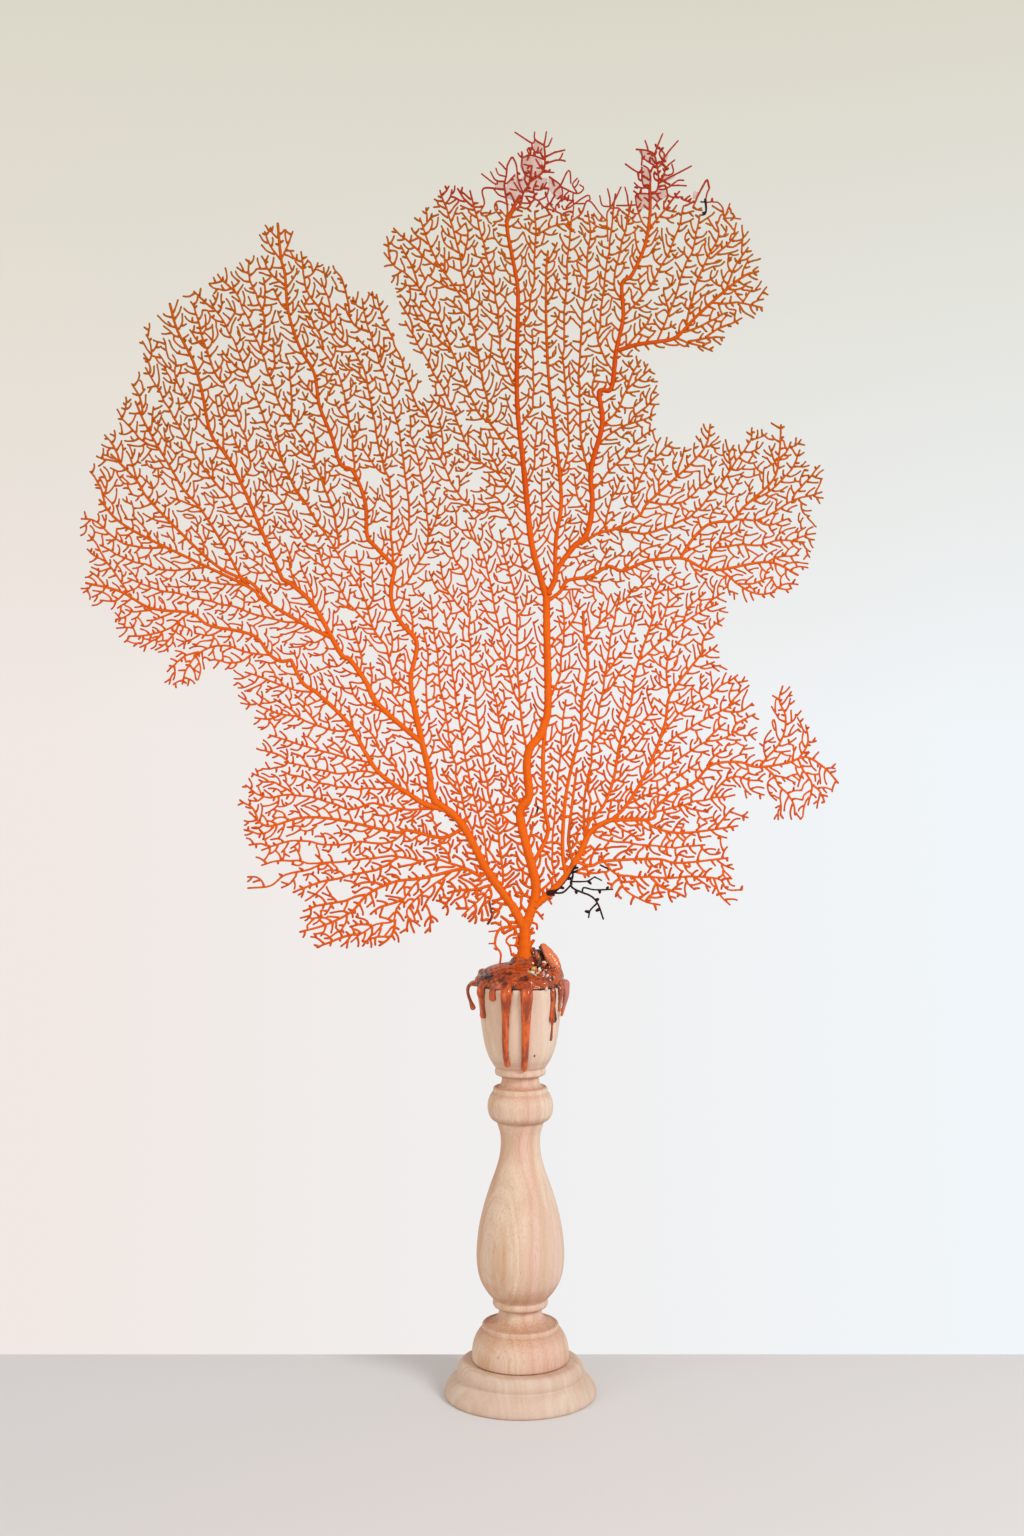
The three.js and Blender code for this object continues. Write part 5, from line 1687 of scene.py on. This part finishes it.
            free, beams = self.look(here, way, rays, reach, ignore)
            lean = np.clip((free[:, [2, 4]].mean(1) - free[:, [1, 3]].mean(1)) / reach, -0.6, 0.6) * 0.35
            lean = np.where(joining[now] & (gone > 2.5), -0.25 * lean, lean)
            way += self.left_of(way) * lean[:, None]
            way /= np.linalg.norm(way, axis=1)[:, None]
            there = here + way * self.step
            open_here = self.inside[self.cells_of(there + way * margin[now][:, None])]
            gap = np.where(joining[now], 0.0, flush.gap)
            side_gap = np.where(joining[now], 0.0, flush.side_gap)
            going = open_here & (free[:, :3].min(1) > gap) & (gone <= lengths[now])
            if not young:
                going &= free[:, 3:].min(1) > side_gap
            nearest, near = free.argmin(1), free.min(1)
            meets = joining[now] & (near <= 0.95) & (gone > 1.0) & open_here
            going &= ~meets
            on = now[going]
            ways[on], places[on], taken[on] = way[going], there[going], tick
            trail[tick, on] = places[on]
            self.stamp(places[on], numbers[on])
            rows = np.nonzero(meets)[0]
            end = now[rows]
            trail[tick, end] = places[end] + beams[rows, nearest[rows]] * (near[rows] + 0.2)[:, None]
            taken[end], joined[end] = tick, True
            alive[now[~going]] = False
        kept = taken * self.step >= flush.shortest
        renumber = np.zeros(numbers[-1] + 1, np.int32)
        renumber[: numbers[0]] = np.arange(numbers[0])
        renumber[numbers[kept]] = numbers[0] + np.arange(kept.sum())
        self.owner = renumber[self.owner]
        for k in np.nonzero(kept)[0]:
            limb = self.branches[parents[k] - 1].limb
            self.branches.append(Branch(trail[: taken[k] + 1, k], limb, *flush.radii, flush.order,
                                        int(parents[k]), float(shares[k]), bool(joined[k])))
        LOG.info("flush of order %d: %d twigs", flush.order, kept.sum())

    def run(self) -> list[Branch]:
        """Grows every round and gives all the branches."""
        for flush in FLUSHES:
            self.grow(flush)
        return self.branches


class Tube(NamedTuple):
    """A branch in the frame: its line, and the radius, the closeness to a tip and the deadness along it."""

    thick: bool
    line: np.ndarray
    radii: np.ndarray
    tip: np.ndarray
    dead: np.ndarray


@dataclass
class SeaFan:
    """The fan's limbs, each one mesh of tubes: round twigs and thicker, fluted stems."""

    twig_sides: int = 5
    stem_sides: int = 14
    thick: float = 0.8
    flute: float = 0.045
    tip_length: float = 12.0
    rind: Finish = field(default_factory=lambda: DriedCoral("dried_coral"))

    def depth(self, points: np.ndarray) -> np.ndarray:
        """Gives the sheet's y at x and z from the foot: broad waves of 3 mm with small ones on them."""
        x, z = points.T
        broad = 1.7 * np.sin(x / 41 + 0.6) * np.sin(z / 57 + 0.4) + 1.2 * np.sin((x - z) / 66 + 1.0)
        small = 0.42 * np.sin(x / 5.3 + 1.7 * np.sin(z / 17)) + 0.42 * np.sin(z / 4.6 + 1.3 * np.sin(x / 13))
        rooted = np.clip(z / 90, 0, 1) ** 1.5
        return rooted * broad + np.clip(z / 40, 0, 1) * small

    def lifts(self, branches: list[Branch]) -> list[np.ndarray]:
        """Gives each branch's own lean out of the sheet: free tips lean most, joined ends come back.

        Args:
            branches: all branches, parents before their twigs.

        Returns:
            An array for each branch.
        """
        rng = np.random.default_rng(31)
        lean = {0: 0.0, 1: 1.6, 2: 1.1, 3: 0.7, 4: 0.3}
        made: list[np.ndarray] = []
        for branch in branches:
            run = np.linspace(0, 1, len(branch.points))
            start = 0.0
            if branch.parent:
                parent = made[branch.parent - 1]
                start = parent[min(len(parent) - 1, round(branch.share * (len(parent) - 1)))]
            own = rng.uniform(-1, 1) * lean[branch.order]
            made.append(start * (1 - run) if branch.joined else start + own * run**2)
        return made

    def radius(self, branch: Branch, along: np.ndarray, rng: np.random.Generator) -> np.ndarray:
        """Gives the radius along a branch: tapered, flared where it meets others, and slightly uneven."""
        length = max(along[-1], 0.1)
        taper = branch.start + (branch.end - branch.start) * along / length
        size = 1 + rng.normal(0, 0.045, len(along))
        if branch.order:
            size += 1.15 * math.exp(-(np.hypot(*branch.points[0]) / 60))
            size += 0.12 * np.clip((branch.points[0, 1] - 200) / 100, 0, 1)
            size += 0.5 * np.exp(-along / 0.8)
            if branch.joined:
                size += 0.35 * np.exp(-(length - along) / 0.8)
            else:
                size += 0.12 * np.exp(-(((length - along) - 0.5) / 0.6) ** 2)
        elif branch.limb == "trunk" and branch.start > 2.7:
            size += 1.0 * np.exp(-along / 6.5)
        return taper * size

    def tubes(self, lines: list[np.ndarray], radii: list[np.ndarray], sides: int, flute: float) -> Surface:
        """Makes closed tubes along many lines at once.

        A ring's point at angle a is the line's point plus the radius times cos a along the sheet and sin a
        across it. Flutes change the radius by a wave of the angle that turns slowly along the line.

        Args:
            lines: points in three coordinates, a line each.
            radii: the radius at each point.
            sides: the points of a ring.
            flute: the flutes' share of the radius.

        Returns:
            One surface.
        """
        sizes = np.array([len(line) for line in lines])
        last = np.cumsum(sizes) - 1
        first = last - sizes + 1
        centre, radius = np.vstack(lines), np.concatenate(radii)
        way = np.vstack([directions(line) for line in lines])
        across = np.cross(way, [0.0, 1.0, 0.0])
        across /= np.linalg.norm(across, axis=1)[:, None]
        out = np.cross(across, way)
        angle = np.linspace(0, 2 * math.pi, sides, endpoint=False)[None, :]
        run = np.arange(len(centre))[:, None]
        wave = flute * (np.sin(3 * angle + 0.11 * run) + 0.6 * np.sin(5 * angle - 0.17 * run))
        reach = (radius[:, None] * (1 + wave))[..., None]
        ring = centre[:, None] + reach * (across[:, None] * np.cos(angle)[..., None]
                                          + out[:, None] * np.sin(angle)[..., None])
        index = np.arange(len(centre) * sides).reshape(-1, sides)
        turned = np.roll(index, -1, axis=1)
        body = np.ones(len(centre), dtype=bool)
        body[last] = False
        k = np.nonzero(body)[0]
        quads = np.stack([index[k], index[k + 1], turned[k + 1], turned[k]], -1).reshape(-1, 4)
        low_pole = len(centre) * sides + np.arange(len(lines))[:, None] + 0 * index[first]
        top_pole = low_pole + len(lines)
        start = np.stack([index[first], turned[first], low_pole], -1).reshape(-1, 3)
        end = np.stack([turned[last], index[last], top_pole], -1).reshape(-1, 3)
        poles = np.vstack([centre[first] - way[first] * radius[first, None] * 0.3,
                           centre[last] + way[last] * radius[last, None] * 0.5])
        return Surface(np.vstack([ring.reshape(-1, 3), poles]), quads, np.vstack([start, end]))

    def build(self) -> None:
        """Grows the twigs, then makes and dresses the limbs."""
        branches = TwigGrowth().run()
        lifts = self.lifts(branches)
        rng = np.random.default_rng(5)
        limbs: dict[str, list[Tube]] = {}
        for branch, lift in zip(branches, lifts):
            limb = DEAD_STEMS.get(branch.limb, branch.limb)
            limbs.setdefault(limb, []).append(self.tube(branch, lift, rng))
        for limb, tubes in limbs.items():
            self.make_limb(limb, tubes)

    def tube(self, branch: Branch, lift: np.ndarray, rng: np.random.Generator) -> Tube:
        """Carries a branch into the frame, with every second or third of its points and a tail if it is free.

        Args:
            branch: the branch.
            lift: its lean out of the sheet at each point.
            rng: draws the small changes of its radius.

        Returns:
            The tube.
        """
        keep = np.arange(0, len(branch.points), 3 if branch.order > 1 else 2)
        keep = np.unique(np.append(keep, len(branch.points) - 1))
        flat = branch.points[keep]
        line = np.column_stack([flat[:, 0], self.depth(flat) + lift[keep], flat[:, 1]]) + FOOT
        along = run_length(line)
        size, tip = self.radius(branch, along, rng), self.closeness(branch, along)
        if not branch.joined:
            tail = line[-1] + directions(line)[-1] * size[-1] * 0.55
            line, size = np.vstack([line, tail]), np.append(size, size[-1] * 0.72)
            tip = np.append(tip, tip[-1])
        dead = np.full(len(line), float(branch.limb in DEAD_STEMS))
        return Tube(branch.start > self.thick, line, size, tip, dead)

    def closeness(self, branch: Branch, along: np.ndarray) -> np.ndarray:
        """Gives how close to a tip each point of a branch is, from 0 to 1."""
        if branch.order < 2:
            return np.clip(1 - (along[-1] - along) / self.tip_length, 0, 1) * 0.9
        if branch.joined:
            return np.full(len(along), 0.35)
        return np.clip(0.55 + 0.45 * along / max(along[-1], 0.1), 0, 1)

    def make_limb(self, limb: str, tubes: list[Tube]) -> None:
        """Makes one limb's mesh with the numbers that its rind reads.

        Args:
            limb: the CAD node that it stands for.
            tubes: its branches.
        """
        surfaces = []
        columns: dict[str, list[np.ndarray]] = {"tip": [], "dead": [], "radii": []}
        for thick, sides, flute in ((False, self.twig_sides, 0.0), (True, self.stem_sides, self.flute)):
            some = [tube for tube in tubes if tube.thick == thick]
            if not some:
                continue
            surfaces.append(self.tubes([p.line for p in some], [p.radii for p in some], sides, flute))
            for key, column in columns.items():
                along = [tube._asdict()[key] for tube in some]
                column += [np.repeat(numbers, sides) for numbers in along]
                column += [np.array([numbers[end] for numbers in along]) for end in (0, -1)]
        surface = joined(surfaces)
        values = {key: np.concatenate(column) for key, column in columns.items()}
        values["thick"] = values.pop("radii") / 3.0
        local = surface.points - FOOT
        values["dead"] = np.maximum(values["dead"], self.dead_near(local))
        crest = (local[:, 2] - 361 - 0.05 * np.abs(local[:, 0] - 20)) / 22
        values["crown"] = np.clip(crest, 0, 1) * np.clip((local[:, 0] + 60) / 20, 0, 1)
        settle(make_object("limb_" + limb, surface, values), self.rind, [limb])

    def dead_near(self, points: np.ndarray) -> np.ndarray:
        """Tells how dead points are: 1 on the dead lines, falling to 0 at their spread."""
        dead = np.zeros(len(points))
        for path, spread, strength in DEAD_LINES:
            line = smooth_path(path, 1.0)
            low, high = line.min(0) - 2 * spread, line.max(0) + 2 * spread
            flat = points[:, [0, 2]]
            close = ((flat > low) & (flat < high)).all(1)
            if close.any():
                near = np.linalg.norm(flat[close][:, None] - line[None], axis=2).min(1)
                dead[close] = np.maximum(dead[close], strength * np.clip(1.3 - near / spread, 0, 1))
        return dead


@dataclass
class CrownSkin:
    """Scraps of dried skin stretched between the crown's twigs. Each is a patch of x and z from the foot."""

    thick: float = 0.14
    skin: Finish = field(default_factory=lambda: DriedSkin("dried_skin"))
    patches: list[Path] = field(default_factory=lambda: [
        pairs(-3.5, 396, -1.5, 392, 2, 390.5, 6, 391.5, 8.5, 393.5, 9, 396.5, 7, 400, 1.5, 401.5,
              -3, 400.5),
        pairs(-4, 389, -2.5, 386, -0.5, 383, 3, 384.5, 7, 385.5, 9.5, 387, 10.5, 390.5, 6.5, 391,
              1.5, 390.5, -1.5, 392),
        pairs(10.5, 386, 12, 384, 14.5, 380.5, 18, 380.5, 16.5, 386.5, 14, 389, 11, 391),
        pairs(-10.5, 386, -10, 380.5, -6.5, 379, -2, 383.5, -4, 388.5, -5, 392, -8, 391),
        pairs(-16, 385, -11, 384, -11.5, 389, -16, 388.5),
        pairs(3, 406, 5, 403.5, 8, 403, 8, 406.5, 4.5, 409.5),
        pairs(58, 400.5, 61.5, 399, 65, 396.5, 64, 400.5, 60.5, 403.8, 56, 404.5),
        pairs(57.5, 392, 58.5, 387, 61.5, 385, 61.8, 390.5, 61, 394.5, 58, 396.5),
        pairs(68, 399, 65.5, 396, 67, 396, 70, 399, 71, 402.2, 68, 402),
        pairs(70, 389, 74, 391, 73.5, 392.5, 70.5, 392, 68, 393, 66.5, 388.5),
        pairs(54.5, 380, 55.5, 376.5, 57.5, 375, 61.5, 375.5, 61, 382.5, 55, 382.5),
        pairs(62, 382, 65, 379, 68, 380, 71.5, 382, 69.5, 385, 65, 384),
        pairs(83, 380.5, 85, 379.5, 86.5, 383.5, 83.5, 384),
    ])

    def build(self) -> None:
        """Makes each patch a thin closed sheet that follows the fan's waves."""
        fan, surfaces = SeaFan(), []
        for patch in self.patches:
            edge = np.array(patch, dtype=float)
            middle = edge.mean(0)
            rings = [middle + (edge - middle) * share for share in (1.0, 0.66, 0.33)]
            flat = np.vstack([*rings, middle[None]])
            depth = fan.depth(flat) + 0.25
            count = len(edge)
            front = np.column_stack([flat[:, 0], depth - self.thick, flat[:, 1]])
            back = np.column_stack([flat[:, 0], depth + self.thick, flat[:, 1]])
            index = np.arange(3 * count).reshape(3, count)
            turned = np.roll(index, -1, axis=1)
            sheet = np.stack([index[:-1], turned[:-1], turned[1:], index[1:]], -1).reshape(-1, 4)
            hub = np.stack([index[2], turned[2], np.full(count, 3 * count)], -1)
            other = 3 * count + 1
            rim = np.stack([index[0], index[0] + other, turned[0] + other, turned[0]], -1)
            quads = np.vstack([sheet, sheet[:, ::-1] + other, rim])
            tris = np.vstack([hub, hub[:, ::-1] + other])
            surfaces.append(Surface(np.vstack([front, back]) + FOOT, quads, tris))
        settle(make_object("crown_skin", joined(surfaces)), self.skin)


# --------------------------------------------------------------------------------------------------------
# Studio
# --------------------------------------------------------------------------------------------------------
@dataclass
class Studio:
    """The floor, the light and the camera. Sizes are in metres.

    The rise and the turn tell how far up and across the sky its colours change.
    """

    eye: tuple[float, float, float] = (-0.0042, -0.88, 0.3125)
    lens: float = 41.25
    glow: float = 0.7
    rise: tuple[float, float] = (0.02, 0.4)
    turn: tuple[float, float] = (-0.25, 0.25)

    def lamp(self, name: str, place: tuple, aim: tuple, size: float, power: float, colour: tuple) -> None:
        """Hangs one square soft light at a place, turned towards an aim."""
        light = bpy.data.lights.new(name, "AREA")
        light.energy, light.size, light.color = power, size, colour
        made = add_object(name, light)
        made.location = place
        away = np.array(place) - np.array(aim)
        yaw, pitch = math.atan2(away[0], -away[1]), math.atan2(math.hypot(away[0], away[1]), away[2])
        made.rotation_euler = (pitch, 0, yaw)

    def floor(self) -> None:
        """Lays a thin pale shelf that ends a little behind the candlestick."""
        x, y, z = (-900.0, 900.0), (-1100.0, 58.0), (-12.0, 0.0)
        points = np.array([(a, b, c) for c in z for b in y for a in x])
        sides = [(0, 2, 3, 1), (4, 5, 7, 6), (0, 1, 5, 4), (2, 6, 7, 3), (0, 4, 6, 2), (1, 3, 7, 5)]
        quads = np.array(sides)
        made = make_object("floor", Surface(points, quads, np.zeros((0, 3), int)))
        made.data.polygons.foreach_set("use_smooth", np.zeros(6, dtype=bool))
        made.data.materials.append(Plain("studio_floor", srgb(222, 219, 218)).material())

    def sky(self) -> None:
        """Surrounds all with soft light. The camera sees a pale backdrop, greyer at the top, cooler right."""
        world = bpy.data.worlds.new("studio")
        bpy.context.scene.world = world
        world.use_nodes = True
        tree = world.node_tree
        tree.nodes.clear()

        def node(kind: str, inputs: dict[Any, Any], **settings: Any) -> Any:
            """Adds a node to the world and gives its outputs."""
            return add_node(tree, kind, settings, inputs).outputs

        parts = node("ShaderNodeSeparateXYZ", {0: node("ShaderNodeTexCoord", {})["Generated"]})
        rise, turn = (
            node("ShaderNodeMapRange", {"Value": parts[axis], "From Min": low, "From Max": high})[0]
            for axis, (low, high) in (("Z", self.rise), ("X", self.turn))
        )
        across = {0: turn, 6: srgb(241, 232, 227), 7: srgb(241, 246, 250)}
        upward = {0: rise, 6: node("ShaderNodeMix", across, data_type="RGBA")[2], 7: srgb(219, 215, 200)}
        back = node("ShaderNodeBackground", {"Color": node("ShaderNodeMix", upward, data_type="RGBA")[2]})
        glow = node("ShaderNodeBackground", {"Color": srgb(244, 241, 238), "Strength": self.glow})
        seen = node("ShaderNodeLightPath", {})["Is Camera Ray"]
        pick = node("ShaderNodeMixShader", {0: seen, 1: glow[0], 2: back[0]})
        node("ShaderNodeOutputWorld", {"Surface": pick[0]})

    def build(self) -> None:
        """Sets up the studio."""
        self.floor()
        self.sky()
        self.lamp("key", (0.9, -0.95, 0.95), (0, 0, 0.3), 0.4, 13.0, (0.96, 0.98, 1.0))
        self.lamp("fill", (-1.1, -1.0, 0.5), (0, 0, 0.3), 0.9, 4.6, (1.0, 0.93, 0.86))
        camera = bpy.data.cameras.new("camera")
        camera.lens = self.lens
        camera.sensor_width = 36.0
        camera.clip_start = 0.01
        made = add_object("camera", camera)
        made.location = self.eye
        made.rotation_euler = (math.pi / 2, 0, 0)
        bpy.context.scene.camera = made
        bpy.context.scene.view_settings.view_transform = "Standard"


def main() -> None:
    """Builds the studio and the object's sub-assemblies in order."""
    logging.basicConfig(level=logging.INFO, format="%(message)s")
    for part in (Studio(), Candlestick(), WaxPour(), Root(), SeaFan(), CrownSkin()):
        LOG.info("building %s", type(part).__name__)
        part.build()


if __name__ == "__main__":
    main()
